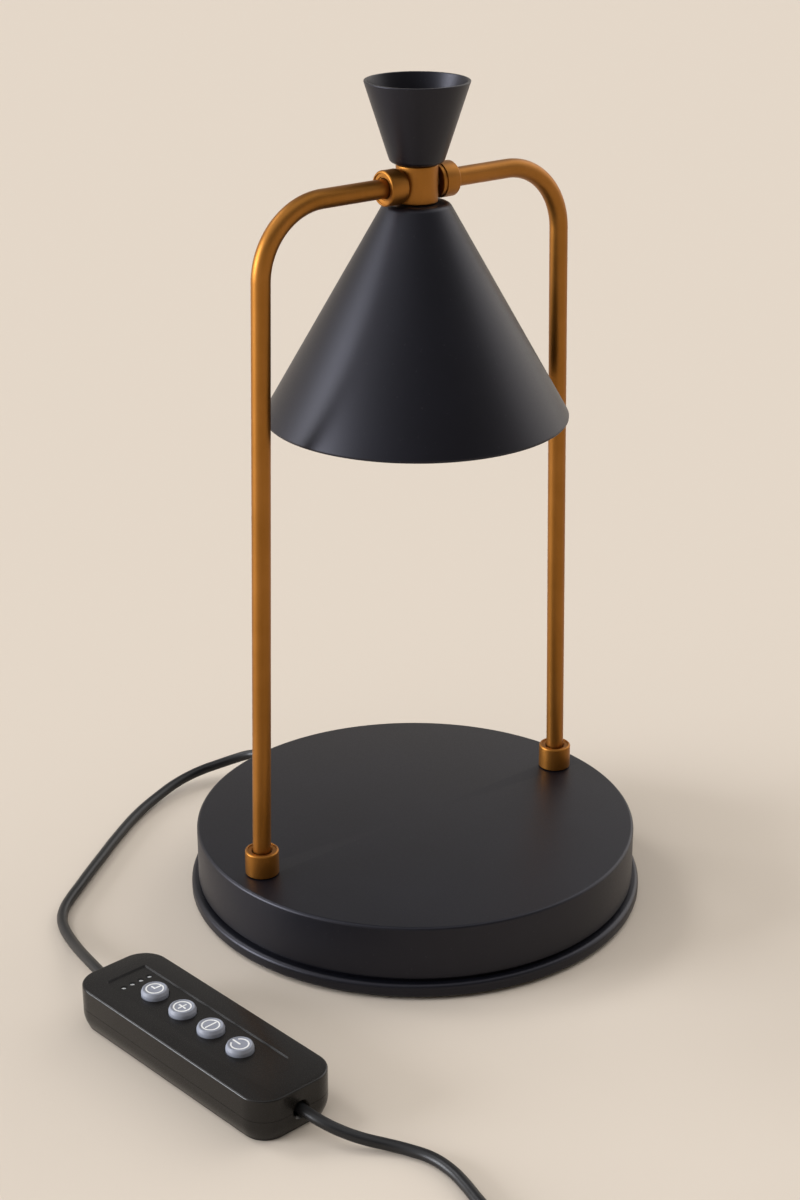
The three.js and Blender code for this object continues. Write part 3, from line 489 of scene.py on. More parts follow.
# Each material's two tones, features in a metre of its patches and grain, and height of the grain.
SURFACES = {
    "black_coat": {
        "tones": ((0.0021, 0.0023, 0.0042), (0.0035, 0.0038, 0.0065)),
        "patch": 35,
        "grain": 2600,
        "roughness": (0.36, 0.45),
        "bump": 0.000012,
        "Specular_IOR_Level": 0.36,
        "Specular_Tint": (0.88, 0.87, 1, 1),
    },
    "copper": {
        "tones": ((0.28, 0.115, 0.02), (0.335, 0.14, 0.028)),
        "patch": 60,
        "grain": 2200,
        "roughness": (0.42, 0.5),
        "bump": 0.000006,
        "Metallic": 1,
    },
    "steel": {
        "tones": ((0.46, 0.47, 0.49), (0.58, 0.59, 0.61)),
        "patch": 300,
        "grain": 1800,
        "roughness": (0.26, 0.42),
        "bump": 0.00001,
        "Metallic": 1,
    },
    "cast_iron": {
        "tones": ((0.035, 0.035, 0.037), (0.075, 0.074, 0.075)),
        "patch": 120,
        "grain": 700,
        "roughness": (0.55, 0.8),
        "bump": 0.00015,
        "Metallic": 0.6,
    },
    "rubber": {
        "tones": ((0.009, 0.009, 0.0095), (0.015, 0.015, 0.016)),
        "patch": 90,
        "grain": 3000,
        "roughness": (0.55, 0.72),
        "bump": 0.00003,
        "Specular_IOR_Level": 0.35,
    },
    "white_insulator": {
        "tones": ((0.80, 0.78, 0.72), (0.86, 0.84, 0.79)),
        "patch": 80,
        "grain": 900,
        "roughness": (0.25, 0.4),
        "bump": 0.00002,
        "Coat_Weight": 0.3,
        "Coat_Roughness": 0.15,
    },
    "lens_glass": {
        "tones": ((0.93, 0.95, 0.96), (0.97, 0.98, 0.99)),
        "patch": 50,
        "grain": 400,
        "roughness": (0.02, 0.06),
        "bump": 0.00002,
        "Transmission_Weight": 1,
        "IOR": 1.5,
    },
    "reflector_glass": {
        "tones": ((0.80, 0.81, 0.83), (0.88, 0.89, 0.91)),
        "patch": 60,
        "grain": 500,
        "roughness": (0.08, 0.16),
        "bump": 0.00003,
        "Metallic": 1,
    },
    "case_plastic": {
        "tones": ((0.0065, 0.0057, 0.005), (0.0095, 0.0084, 0.0074)),
        "patch": 45,
        "grain": 3800,
        "roughness": (0.22, 0.29),
        "bump": 0.000005,
        "Specular_IOR_Level": 0.3,
    },
    "button_rubber": {
        "tones": ((0.215, 0.228, 0.27), (0.26, 0.275, 0.32)),
        "patch": 250,
        "grain": 3500,
        "roughness": (0.42, 0.55),
        "bump": 0.000012,
        "Specular_IOR_Level": 0.4,
    },
    "board_green": {
        "tones": ((0.012, 0.13, 0.045), (0.02, 0.18, 0.065)),
        "patch": 200,
        "grain": 1500,
        "roughness": (0.3, 0.45),
        "bump": 0.00002,
    },
    "clear_plastic": {
        "tones": ((0.82, 0.82, 0.81), (0.88, 0.88, 0.86)),
        "patch": 500,
        "grain": 2500,
        "roughness": (0.3, 0.42),
        "bump": 0.00001,
        "Subsurface_Weight": 0.1,
    },
    "cord_jacket": {
        "tones": ((0.006, 0.006, 0.0066), (0.0095, 0.0095, 0.0104)),
        "patch": 110,
        "grain": 2400,
        "roughness": (0.33, 0.45),
        "bump": 0.000015,
        "Specular_IOR_Level": 0.35,
    },
    "wire_jacket": {
        "tones": ((0.60, 0.56, 0.46), (0.72, 0.68, 0.58)),
        "patch": 300,
        "grain": 2500,
        "roughness": (0.6, 0.8),
        "bump": 0.00004,
    },
}


def add(tree, kind, **inputs):
    """A node with its inputs; an input that is another node's output is linked."""
    node = tree.nodes.new("ShaderNode" + kind)
    for key, value in inputs.items():
        socket = node.inputs[key.replace("_", " ")]
        if isinstance(value, bpy.types.NodeSocket):
            tree.links.new(value, socket)
        else:
            socket.default_value = value
    return node


def ramp(tree, factor, *stops):
    """A colour ramp through stops of (place, colour)."""
    node = add(tree, "ValToRGB", Fac=factor)
    elements = node.color_ramp.elements
    for i, (place, colour) in enumerate(stops):
        element = elements[i] if i < len(elements) else elements.new(place)
        element.position = place
        element.color = (*colour, 1)
    return node.outputs["Color"]


class Surface:
    """A material whose colour drifts between tones, and whose grain drives roughness and bump."""

    def __init__(self, name, tones, patch, grain, roughness, bump, **constants):
        self.material = bpy.data.materials.new(name)
        self.material.use_nodes = True
        self.tree = self.material.node_tree
        self.shader = self.tree.nodes["Principled BSDF"]
        self.place = add(self.tree, "TexCoord").outputs["Object"]
        self.colour = ramp(self.tree, self.noise(patch), *zip(NOISE_RANGE, tones))
        height = self.noise(grain)
        spread = add(
            self.tree,
            "MapRange",
            Value=height,
            From_Min=NOISE_RANGE[0],
            From_Max=NOISE_RANGE[1],
            To_Min=roughness[0],
            To_Max=roughness[1],
        )
        self.tree.links.new(self.colour, self.shader.inputs["Base Color"])
        self.tree.links.new(spread.outputs["Result"], self.shader.inputs["Roughness"])
        relief = add(self.tree, "Bump", Strength=1, Distance=bump, Height=height)
        self.tree.links.new(relief.outputs["Normal"], self.shader.inputs["Normal"])
        for key, value in constants.items():
            self.shader.inputs[key.replace("_", " ")].default_value = value

    def noise(self, scale, detail=4, stretch=(1, 1, 1)):
        """Noise with this many features in a metre, stretched along axes with a small factor."""
        place = add(self.tree, "Mapping", Vector=self.place, Scale=stretch).outputs["Vector"]
        return add(self.tree, "TexNoise", Vector=place, Scale=scale, Detail=detail).outputs["Fac"]

    def blend(self, factor, colour):
        """Lays a colour over the one so far, where the factor is high."""
        mix = add(self.tree, "MixRGB", Fac=factor, Color1=self.colour, Color2=colour)
        self.colour = mix.outputs["Color"]
        self.tree.links.new(self.colour, self.shader.inputs["Base Color"])


def make_materials():
    """Every slot's material, with paler specks in the black coat and streaks down the copper."""
    surfaces = {name: Surface(name, **values) for name, values in SURFACES.items()}
    coat = surfaces["black_coat"]
    specks = coat.noise(SPECK_SCALE, SPECK_DETAIL)
    coat.blend(ramp(coat.tree, specks, *SPECK_STOPS), SPECK_COLOUR)
    plate = surfaces["copper"]
    streaks = plate.noise(STREAK_SCALE, stretch=STREAK_STRETCH)
    plate.blend(ramp(plate.tree, streaks, *STREAK_STOPS), STREAK_COLOUR)
    return {name: surface.material for name, surface in surfaces.items()}


# Base.
def make_pan():
    low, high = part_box("base_pan")
    reach = high[0]
    inner = reach - FLANGE_WIDTH
    spigot_inner = SPIGOT_RADIUS - SPIGOT_WALL
    shape = turned(
        [
            (0, PAN_UNDER, 0),
            (inner, PAN_UNDER, FOOT_ROUND),
            (inner, low[2], EDGE_ROUND),
            (reach, low[2], FLANGE_ROUND),
            (reach, PAN_TOP, FLANGE_ROUND),
            (SPIGOT_RADIUS, PAN_TOP, 0),
            (SPIGOT_RADIUS, high[2], EDGE_ROUND),
            (spigot_inner, high[2], EDGE_ROUND),
            (spigot_inner, PAN_TOP, 0),
            (0, PAN_TOP, 0),
        ],
        WIDE_SEGMENTS,
    )
    holes = []
    for i in range(SCREW_COUNT):
        place = middle(f"base_screw_{i + 1}")
        holes.append(moved(cylinder(SCREW_HOLE, 0, high[2]), at(place.x, place.y)))
    notch = block(2 * RELIEF_FLANGE, SPAN * 2, EDGE_ROUND, PAN_TOP, high[2] + SPAN)
    shape = carved(shape, joined(*holes), moved(notch, at(y=SPIGOT_RADIUS)))
    piece("pan_shell", shape, "black_coat", replaces=["base_pan"])


def make_cover():
    low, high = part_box("base_cover")
    reach = high[0]
    under = high[2] - COVER_WALL
    shape = turned(
        [
            (0, under, 0),
            (reach - COVER_WALL, under, FOOT_ROUND),
            (reach - COVER_WALL, low[2], EDGE_ROUND),
            (reach, low[2], EDGE_ROUND),
            (reach, high[2], COVER_ROUND),
            (0, high[2], 0),
        ],
        WIDE_SEGMENTS,
    )
    holes = []
    for side in ("left", "right"):
        post = middle(f"{side}_ferrule")
        hole = cylinder(SLEEVE_BORE, under - SPAN, high[2] + SPAN)
        holes.append(moved(hole, at(post.x, post.y)))
    way = moved(cylinder(RELIEF_RADIUS + EDGE_ROUND, -SPAN, SPAN), turn(QUARTER, "X"))
    holes.append(moved(way, at(0, reach, RELIEF_HEIGHT)))
    piece("cover_shell", carved(shape, joined(*holes)), "black_coat", replaces=["base_cover"])


def make_feet():
    for i in range(FOOT_COUNT):
        node = f"rubber_foot_{i + 1}"
        low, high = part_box(node)
        reach = (high[0] - low[0]) / 2
        shape = turned(
            [
                (0, FOOT_CUP_DEPTH, 0),
                (FOOT_CUP_RADIUS - FOOT_CUP_DEPTH, FOOT_CUP_DEPTH, 0),
                (FOOT_CUP_RADIUS, low[2], 0),
                (reach, low[2], FOOT_ROUND),
                (reach, high[2], EDGE_ROUND),
                (0, high[2], 0),
            ],
            SMALL_SEGMENTS,
        )
        place = middle(node)
        piece(f"foot_{i + 1}", moved(shape, at(place.x, place.y)), "rubber", replaces=[node])


# Frame.
def make_sleeve(name, node, length, floor, matrix):
    """A ferrule or a collar with a floor. Its mouth has a lip, a step and a well round the tube."""
    radius = SLEEVE_RADIUS
    if floor:
        inside = [(SLEEVE_BORE, SLEEVE_WALL, 0), (PIN_HOLE, SLEEVE_WALL, 0), (PIN_HOLE, 0, 0)]
        band = radius - COLLAR_STEP
        edge = (radius, COLLAR_BAND, EDGE_ROUND / 2)
        foot = [(band, 0, EDGE_ROUND), (band, COLLAR_BAND, 0), edge]
    else:
        inside = [(SLEEVE_BORE, 0, 0)]
        foot = [(radius, 0, EDGE_ROUND)]
    step = length - SLEEVE_STEP
    well = length - SLEEVE_DEPTH
    shape = turned(
        [
            *inside,
            *foot,
            (radius, length, SLEEVE_ROUND),
            (radius - SLEEVE_LIP, length, EDGE_ROUND / 2),
            (radius - SLEEVE_LIP, step, 0),
            (SLEEVE_MOUTH, step, EDGE_ROUND / 2),
            (SLEEVE_MOUTH, well, 0),
            (SLEEVE_BORE, well, 0),
        ],
    )
    piece(name, moved(shape, matrix), "copper", replaces=[node])


def make_frame():
    """Each side's ferrule, collar and tube."""
    for side, word in ((-1, "left"), (1, "right")):
        node = f"{word}_ferrule"
        low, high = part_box(node)
        post = middle(node).x
        make_sleeve(f"{word}_foot_ring", node, high[2] - low[2], False, at(post, 0, low[2]))
        node = f"{word}_collar"
        low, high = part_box(node)
        inner = min(abs(low[0]), abs(high[0]))
        matrix = at(side * inner, 0, ARM_HEIGHT) @ turn(side * QUARTER, "Y")
        make_sleeve(f"{word}_arm_ring", node, high[0] - low[0], True, matrix)
        make_tube(side, word, abs(post))


def make_tube(side, word, post):
    """Upright in its ferrule, leaning in above it, and round its bend to the collar."""
    lean_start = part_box(f"{word}_ferrule")[1][2]
    bend_start = ARM_HEIGHT - BEND_RADIUS * (1 - math.sin(POST_LEAN))
    bend = post - (bend_start - lean_start) * math.tan(POST_LEAN)
    bend -= BEND_RADIUS * math.cos(POST_LEAN)
    points = [Vector((side * post, 0, height)) for height in (TUBE_FOOT, lean_start)]
    for step in range(BEND_STEPS + 1):
        angle = POST_LEAN + (QUARTER - POST_LEAN) * step / BEND_STEPS
        x = bend + BEND_RADIUS * math.cos(angle)
        height = ARM_HEIGHT - BEND_RADIUS + BEND_RADIUS * math.sin(angle)
        points.append(Vector((side * x, 0, height)))
    points.append(Vector((side * TUBE_END, 0, ARM_HEIGHT)))
    shape = piped(points, TUBE_RADIUS, TUBE_BORE, SMALL_SEGMENTS)
    piece(f"{word}_tube", shape, "copper", replaces=[f"{word}_arm_tube"])


# Head.
def make_hub():
    low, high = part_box("hub")
    reach = high[0]
    shape = turned(
        [
            (HUB_BORE, low[2], 0),
            (reach, low[2], HUB_ROUND),
            (reach, high[2], HUB_ROUND),
            (HUB_SCREW_BORE, high[2], 0),
            (HUB_SCREW_BORE, HUB_FLOOR, 0),
            (HUB_BORE, HUB_FLOOR, 0),
        ],
    )
    way = moved(cylinder(PIN_HOLE, -2 * reach, 2 * reach), at(z=ARM_HEIGHT) @ turn(QUARTER, "Y"))
    piece("hub_body", carved(shape, way), "copper", "head", ["hub"])


def make_funnel():
    low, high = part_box("funnel")
    reach = high[0]
    shape = turned(
        [
            (FUNNEL_BORE, low[2], 0),
            (FUNNEL_FOOT, low[2], FUNNEL_ROUND),
            (reach, high[2], EDGE_ROUND),
            (reach - FUNNEL_WALL, high[2], EDGE_ROUND),
            (FUNNEL_FOOT - FUNNEL_WALL, low[2] + FUNNEL_WALL, FUNNEL_ROUND - FUNNEL_WALL),
            (FUNNEL_BORE, low[2] + FUNNEL_WALL, 0),
        ],
        WIDE_SEGMENTS,
    )
    piece("funnel_cup", shape, "black_coat", "head", ["funnel"])


def make_shade():
    low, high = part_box("shade")
    reach = high[0]
    hem = low[2] + SHADE_HEM
    shape = turned(
        [
            (reach - SHADE_WALL, low[2], EDGE_ROUND),
            (reach, low[2], EDGE_ROUND),
            (reach, hem, EDGE_ROUND),
            (SHADE_SHOULDER, high[2], SHADE_ROUND),
            (SHADE_BORE, high[2], 0),
            (SHADE_BORE, high[2] - SHADE_WALL, 0),
            (SHADE_SHOULDER - SHADE_WALL, high[2] - SHADE_WALL, SHADE_ROUND - SHADE_WALL),
            (reach - SHADE_WALL, hem, 0),
        ],
        WIDE_SEGMENTS,
    )
    piece("shade_cone", shape, "black_coat", "head", ["shade"])


def holder_ring(reach, bottom, top):
    """A ring round the lamp's wires, rounded at its upper edge."""
    return turned(
        [
            (HUB_BORE, bottom, 0),
            (reach, bottom, EDGE_ROUND),
            (reach, top, HOLDER_ROUND),
            (HUB_BORE, top, 0),
        ],
    )


def make_lampholder():
    low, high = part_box("lampholder")
    reach = high[0]
    sockets = []
    for side in (-1, 1):
        socket = cylinder(SOCKET_RADIUS, -SPAN, SOCKET_DEPTH)
        sockets.append(moved(socket, at(side * SOCKET_PLACE, 0, low[2])))
    shape = carved(holder_ring(reach, low[2], high[2]), joined(*sockets))
    piece("holder_body", shape, "white_insulator", "head", ["lampholder"])
    low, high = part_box("lampholder_cap")
    shape = holder_ring(reach, low[2], high[2])
    piece("holder_cap", shape, "steel", "head", ["lampholder_cap"])


def make_bulb():
    """The bulb's mirrored bowl, closed at its neck."""
    low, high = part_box("bulb_reflector")
    bowl_top = high[2] - BULB_BASE_HEIGHT
    reach = high[0] - BULB_NECK

    def bowl(inset):
        """The reflector's wall from its neck down to its rim."""
        rows = []
        for step in range(BULB_STEPS + 1):
            share = step / BULB_STEPS
            height = bowl_top - (bowl_top - low[2]) * share * share
            rows.append((BULB_NECK + reach * share - inset, height, 0))
        return rows

    outside = bowl(0)[::-1]
    inside = bowl(BULB_WALL)
    inside[0] = (BULB_NECK, bowl_top - BULB_WALL, 0)
    inner = [row for row in inside if row[1] <= bowl_top - BULB_WALL]
    shape = turned(
        [
            (0, bowl_top - BULB_WALL, 0),
            *inner,
            *outside,
            (BULB_NECK, high[2], HUB_ROUND),
            (0, high[2], 0),
        ],
    )
    piece("reflector_bowl", shape, "reflector_glass", "head", ["bulb_reflector"])


def make_lens():
    """The bulb's front lens, and the capsule behind it."""
    low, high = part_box("bulb_lens")
    reach = high[0]
    shape = turned(
        [
            (0, low[2], 0),
            (reach, low[2], LENS_ROUND),
            (reach, high[2], LENS_ROUND),
            (0, high[2], 0),
        ],
    )
    piece("front_lens", shape, "lens_glass", "head", ["bulb_lens"])
    low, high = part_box("bulb_capsule")
    reach = high[0]
    shape = turned(
        [
            (0, low[2], 0),
            (reach, low[2], reach * CAPSULE_ROUND_SHARE),
            (reach, high[2], 0),
            (0, high[2], 0),
        ],
    )
    piece("halogen_capsule", shape, "lens_glass", "head", ["bulb_capsule"])


# Controller.
def controller_frame():
    """The matrix from the controller's own frame, found from its shell and its buttons."""
    centre = middle("controller_upper_shell")
    along = middle("power_button") - middle("timer_button")
    return at(centre.x, centre.y) @ turn(math.atan2(along.y, along.x), "Z")


def shell_rings(levels):
    """Rings of the case from levels of (height, inset)."""
    return [
        rectangle_ring(CASE_LENGTH - 2 * inset, CASE_WIDTH - 2 * inset, CASE_CORNER - inset, height)
        for height, inset in levels
    ]


def cavity(bottom, top):
    """The hollow inside the case, between two heights."""
    inset = 2 * CASE_WALL + CASE_DRAFT
    return block(CASE_LENGTH - inset, CASE_WIDTH - inset, CASE_CORNER - CASE_WALL, bottom, top)


def cord_mouths():
    """Cutters for the hole at each end and the flare round it."""
    reach = CASE_LENGTH / 2
    cutters = []
    for way in (-QUARTER, QUARTER):
        shape = turned(
            [
                (0, reach - 2 * CASE_WALL, 0),
                (CORD_MOUTH, reach - 2 * CASE_WALL, 0),
                (CORD_MOUTH, reach - MOUTH_FLARE, 0),
                (CORD_MOUTH + MOUTH_FLARE, reach, 0),
                (CORD_MOUTH + MOUTH_FLARE, reach + SPAN, 0),
                (0, reach + SPAN, 0),
            ],
        )
        cutters.append(moved(shape, at(z=MOUTH_HEIGHT) @ turn(way, "Y")))
    return cutters


def make_upper_shell(matrix):
    low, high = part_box("controller_upper_shell")
    panel = high[2] - PANEL_DEPTH
    levels = [(MOUTH_HEIGHT + CASE_SEAM / 2, 0)]
    for step in range(ARC_STEPS + 1):
        angle = QUARTER * step / ARC_STEPS
        height = high[2] - CASE_EDGE * (1 - math.sin(angle))
        levels.append((height, CASE_EDGE * (1 - math.cos(angle))))
    above = high[2] + SPAN
    rings = []
    for height, rise in ((panel, -PANEL_SLOPE), (high[2], 0), (above, 0)):
        size = (PANEL_LENGTH + 2 * rise, PANEL_WIDTH + 2 * rise)
        rings.append(rectangle_ring(*size, PANEL_CORNER + rise, height, PANEL_SHIFT))
    places = [(BUTTON_HOLE, x, 0) for _, x in button_places()]
    places += [(LED_HOLE, LED_PLACE, y) for y in led_places()]
    holes = [moved(cylinder(radius, low[2], above), at(x, y)) for radius, x, y in places]
    hollow = cavity(low[2] - SPAN, panel - CASE_WALL)
    cutters = [hollow, lofted(rings), joined(*holes), *cord_mouths()]
    shape = carved(lofted(shell_rings(levels)), *cutters)
    piece("case_top", moved(shape, matrix), "case_plastic", replaces=["controller_upper_shell"])


def screw_seats(matrix):
    """Cutters through the floor of the case round the heads of its two screws."""
    cutters = []
    for number in (1, 2):
        node = f"controller_screw_{number}"
        low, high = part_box(node)
        place = matrix.inverted() @ middle(node)
        shape = cylinder((high[0] - low[0]) / 2 + SEAT_ROOM, low[2] - SPAN, CASE_WALL + SPAN)
        cutters.append(moved(shape, at(place.x, place.y)))
    return cutters


def make_lower_shell(matrix):
    low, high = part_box("controller_lower_shell")
    levels = []
    for step in range(ARC_STEPS + 1):
        angle = QUARTER * step / ARC_STEPS
        height = low[2] + CASE_FOOT_ROUND * (1 - math.cos(angle))
        levels.append((height, CASE_DRAFT + CASE_FOOT_ROUND * (1 - math.sin(angle))))
    for step in range(1, ARC_STEPS + 1):
        share = step / ARC_STEPS
        height = CASE_FOOT_ROUND + (CASE_DRAFT_HEIGHT - CASE_FOOT_ROUND) * share
        levels.append((height, CASE_DRAFT * (1 - share) ** 2))
    levels.append((MOUTH_HEIGHT - CASE_SEAM / 2, 0))
    cutters = [*cord_mouths(), *screw_seats(matrix)]
    shape = carved(lofted(shell_rings(levels)), cavity(CASE_WALL, high[2] + SPAN), *cutters)
    piece("case_bottom", moved(shape, matrix), "case_plastic", replaces=["controller_lower_shell"])


def button_places():
    """Each button's word and its place along the controller."""
    centre = middle("controller_upper_shell")
    places = []
    for word in ("timer", "plus", "minus", "power"):
        reach = (middle(f"{word}_button") - centre).to_2d().length
        before = word in ("timer", "plus")
        places.append((word, -reach if before else reach))
    return places


def led_places():
    """Each indicator light's place across the controller."""
    return [(i - (LED_COUNT - 1) / 2) * LED_PITCH for i in range(LED_COUNT)]


def make_button(word, matrix):
    low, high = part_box(f"{word}_button")
    flange = low[2] + BUTTON_FLANGE_HEIGHT
    disc = high[2] - BUTTON_DISC_DEPTH
    shape = turned(
        [
            (0, low[2], 0),
            (BUTTON_FLANGE, low[2], EDGE_ROUND),
            (BUTTON_FLANGE, flange, EDGE_ROUND),
            (BUTTON_RADIUS, flange, 0),
            (BUTTON_RADIUS, high[2] - BUTTON_SHOULDER, BUTTON_ROUND),
            (BUTTON_TOP, high[2], BUTTON_ROUND / 2),
            (BUTTON_DISC, high[2], 0),
            (BUTTON_DISC - BUTTON_DISC_DEPTH, disc, 0),
            (0, disc, 0),
        ],
    )
    body = f"{word}_key"
    piece(f"{word}_cap", moved(shape, matrix), "button_rubber", body, [f"{word}_button"])
    mark = moved(joined(*MARKS[word]()), matrix @ at(z=disc))
    piece(f"{word}_mark", mark, "clear_plastic", body)


def ring_mark(gap=0):
    """A flat ring, open towards -X by the given angle on each side."""
    sweep = 2 * (math.pi - gap)
    turns = [math.pi + gap + sweep * i / SMALL_SEGMENTS for i in range(SMALL_SEGMENTS + 1)]
    outline = [(RING_INNER, 0), (RING_OUTER, 0), (RING_OUTER, PRINT_HEIGHT)]
    outline.append((RING_INNER, PRINT_HEIGHT))
    shape = bmesh.new()
    rows = []
    for radius, height in outline:
        ring = [(radius * math.cos(a), radius * math.sin(a), height) for a in turns]
        rows.append([shape.verts.new(point) for point in ring])
    for first, second in zip(rows, rows[1:] + rows[:1]):
        for i in range(SMALL_SEGMENTS):
            shape.faces.new((first[i], first[i + 1], second[i + 1], second[i]))
    if gap:
        for end in (0, -1):
            shape.faces.new([row[end] for row in rows])
    return shape


def stroke_mark(start, end):
    """A flat stroke between two places in plan, with round ends."""
    start, end = Vector(start), Vector(end)
    along = end - start
    centre = (start + end) / 2
    bar = block(along.length + STROKE, STROKE, STROKE_CORNER, 0, PRINT_HEIGHT)
    return moved(bar, at(centre.x, centre.y) @ turn(math.atan2(along.y, along.x), "Z"))


def timer_mark():
    up, right = HAND_REACHES
    return ring_mark(), stroke_mark((0, 0), (-up, 0)), stroke_mark((0, STROKE), (0, right))


def plus_mark():
    lower = stroke_mark((STROKE, 0), (PLUS_REACH, 0))
    upper = stroke_mark((-PLUS_REACH, 0), (-STROKE, 0))
    return ring_mark(), stroke_mark((0, -PLUS_REACH), (0, PLUS_REACH)), lower, upper


def minus_mark():
    return ring_mark(), stroke_mark((0, -MINUS_REACH), (0, MINUS_REACH))


def power_mark():
    return ring_mark(POWER_GAP), stroke_mark((-POWER_REACH, 0), (0, 0))


MARKS = {"timer": timer_mark, "plus": plus_mark, "minus": minus_mark, "power": power_mark}


def make_lights_guide(matrix):
    """One clear piece: a bar under the case with a pip in each hole."""
    low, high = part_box("led_light_guide")
    size = (LED_BAR_WIDTH, LED_COUNT * LED_PITCH)
    bar = block(*size, EDGE_ROUND, low[2], low[2] + LED_BAR_HEIGHT, LED_PLACE)
    pips = []
    for y in led_places():
        pip = cylinder(LED_RADIUS, low[2] + EDGE_ROUND, high[2] - LED_DROP)
        pips.append(moved(pip, at(LED_PLACE, y)))
    shape = combined("UNION", bar, joined(*pips))
    piece("led_row", moved(shape, matrix), "clear_plastic", replaces=["led_light_guide"])


def make_controller():
    matrix = controller_frame()
    make_upper_shell(matrix)
    make_lower_shell(matrix)
    make_lights_guide(matrix)
    for word, x in button_places():
        make_button(word, matrix @ at(x))


# Cord fittings and plug.
def make_base_relief():
    low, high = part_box("base_strain_relief")
    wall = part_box("base_cover")[1][1]
    tail = wall + EDGE_ROUND
    outline = [
        (0, low[1], 0),
        (RELIEF_FLANGE, low[1], EDGE_ROUND),
        (RELIEF_FLANGE, low[1] + RELIEF_FLANGE_HEIGHT, EDGE_ROUND),
        (RELIEF_RADIUS, low[1] + RELIEF_FLANGE_HEIGHT, 0),
        (RELIEF_RADIUS, tail, 0),
        (RELIEF_FLANGE, tail, EDGE_ROUND),
        (RELIEF_FLANGE, tail + RELIEF_FLANGE_HEIGHT, EDGE_ROUND),
    ]
    outline += ribbed(tail + RELIEF_FLANGE_HEIGHT, high[1], RELIEF_RADIUS, RELIEF_TIP)
    outline.append((0, high[1], 0))
    matrix = at(z=RELIEF_HEIGHT) @ turn(-QUARTER, "X")
    piece("base_bush", moved(turned(outline), matrix), "rubber", replaces=["base_strain_relief"])


def ribbed(start, end, wide, narrow):
    """The outline of a taper with grooves round it."""
    pitch = (end - start) / RELIEF_RIBS
    taper = (narrow - wide) / RELIEF_RIBS
    outline = []
    for i in range(RELIEF_RIBS):
        radius = wide + taper * i
        groove = start + i * pitch
        outline += [
            (radius - RELIEF_GROOVE, groove, 0),
            (radius - RELIEF_GROOVE, groove + RELIEF_GROOVE, 0),
            (radius, groove + 2 * RELIEF_GROOVE, EDGE_ROUND / 2),
            (radius + taper, groove + pitch - RELIEF_GROOVE / 2, EDGE_ROUND / 2),
        ]
    outline.append((narrow - RELIEF_GROOVE / 2, end, 0))
    return outline


def make_tie():
    """A flat band round the cords at one side of the coil."""
    low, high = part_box("coil_tie")
    centre = Vector((*COIL_CENTRE, 0))
    place = middle("coil_tie")
    place.z = 0
    reach = (place - centre).length
    height = high[2] - low[2]
    width = 2 * (COIL_RADII[0] + CORD_RADIUS + TIE_ROOM - COIL_RADII[1])
    shape = bmesh.new()
    rows = []
    for side, thickness in ((-1, 0), (-1, TIE_THICKNESS), (1, TIE_THICKNESS), (1, 0)):
        size = (height - 2 * thickness, width - 2 * thickness)
        ring = rectangle_ring(*size, TIE_ROUND - thickness, side * TIE_WIDTH / 2)
        rows.append([shape.verts.new(point) for point in ring])
    for first, second in zip(rows, rows[1:] + rows[:1]):
        bridge(shape, first, second)
    swap_x_and_z = Matrix(((0, 0, 1, 0), (0, 1, 0, 0), (1, 0, 0, 0), (0, 0, 0, 1)))
    outwards = turn(math.atan2(place.y - centre.y, place.x - centre.x), "Z")
    matrix = at(centre.x, centre.y) @ outwards @ at(reach, 0, height / 2)
    matrix = matrix @ turn(QUARTER, "Z") @ swap_x_and_z
    piece("coil_band", moved(shape, matrix), "rubber", replaces=["coil_tie"])


def along_x(start):
    """From upright, made along +Z, to lying along -X from a place."""
    return Matrix.Translation(start) @ turn(-QUARTER, "Y")


def make_plug():
    start = Vector(COIL_END_POINTS[-1])
    length = start.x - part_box("plug_strain_relief")[0][0]
    outline = [(0, EDGE_ROUND, 0)]
    grooves = ribbed(EDGE_ROUND, length, PLUG_RELIEF_RADIUS, RELIEF_TIP)
    for radius, place, corner in reversed(grooves):
        outline.append((radius, length + EDGE_ROUND - place, corner))
    outline.append((0, length, 0))
    shape = moved(turned(outline), along_x(start))
    piece("plug_bush", shape, "rubber", replaces=["plug_strain_relief"])
    make_plug_body(start)
    for end in ("a", "b"):
        make_blade(f"plug_blade_{end}")


def make_plug_body(start):
    low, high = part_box("plug_body")
    length = high[0] - low[0]
    width = high[1] - low[1]
    thickness = high[2] - low[2]
    centre = start.x - high[0] + length / 2
    rings = []
    for step in (*range(-ARC_STEPS, 0), *range(1, ARC_STEPS + 1)):
        angle = QUARTER * step / ARC_STEPS
        inset = PLUG_EDGE * (1 - math.cos(angle))
        shift = length / 2 - PLUG_EDGE + PLUG_EDGE * abs(math.sin(angle))
        size = (thickness - 2 * inset, width - 2 * inset)
        place = centre + math.copysign(shift, angle)
        rings.append(rectangle_ring(*size, PLUG_CORNER - inset, place))
    shape = lofted(rings)
    piece("plug_shell", moved(shape, along_x(start)), "rubber", replaces=["plug_body"])


def make_blade(node):
    low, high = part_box(node)
    size = Vector(high) - Vector(low)
    place = middle(node)
    shape = block(size.x, size.z, BLADE_ROUND, -size.y / 2, size.y / 2)
    hole = moved(cylinder(BLADE_HOLE, -SPAN, SPAN), at(BLADE_HOLE_INSET - size.x / 2))
    shape = moved(carved(shape, hole), Matrix.Translation(place) @ turn(QUARTER, "X"))
    piece(node.replace("plug_blade", "contact"), shape, "steel", replaces=[node])


# Cords.
def smooth(share):
    """Eases a share in and out, and keeps it between 0 and 1."""
    share = min(max(share, 0), 1)
    return share * share * (3 - 2 * share)


def coil_stops():
    """The radius and height of each turn, in the order it is wound: inwards, up, outwards, up."""
    stops = []
    for row, height in enumerate(COIL_ROW_HEIGHTS):
        radii = reversed(COIL_RADII) if row % 2 else COIL_RADII
        stops += [(radius, height) for radius in radii]
    return stops


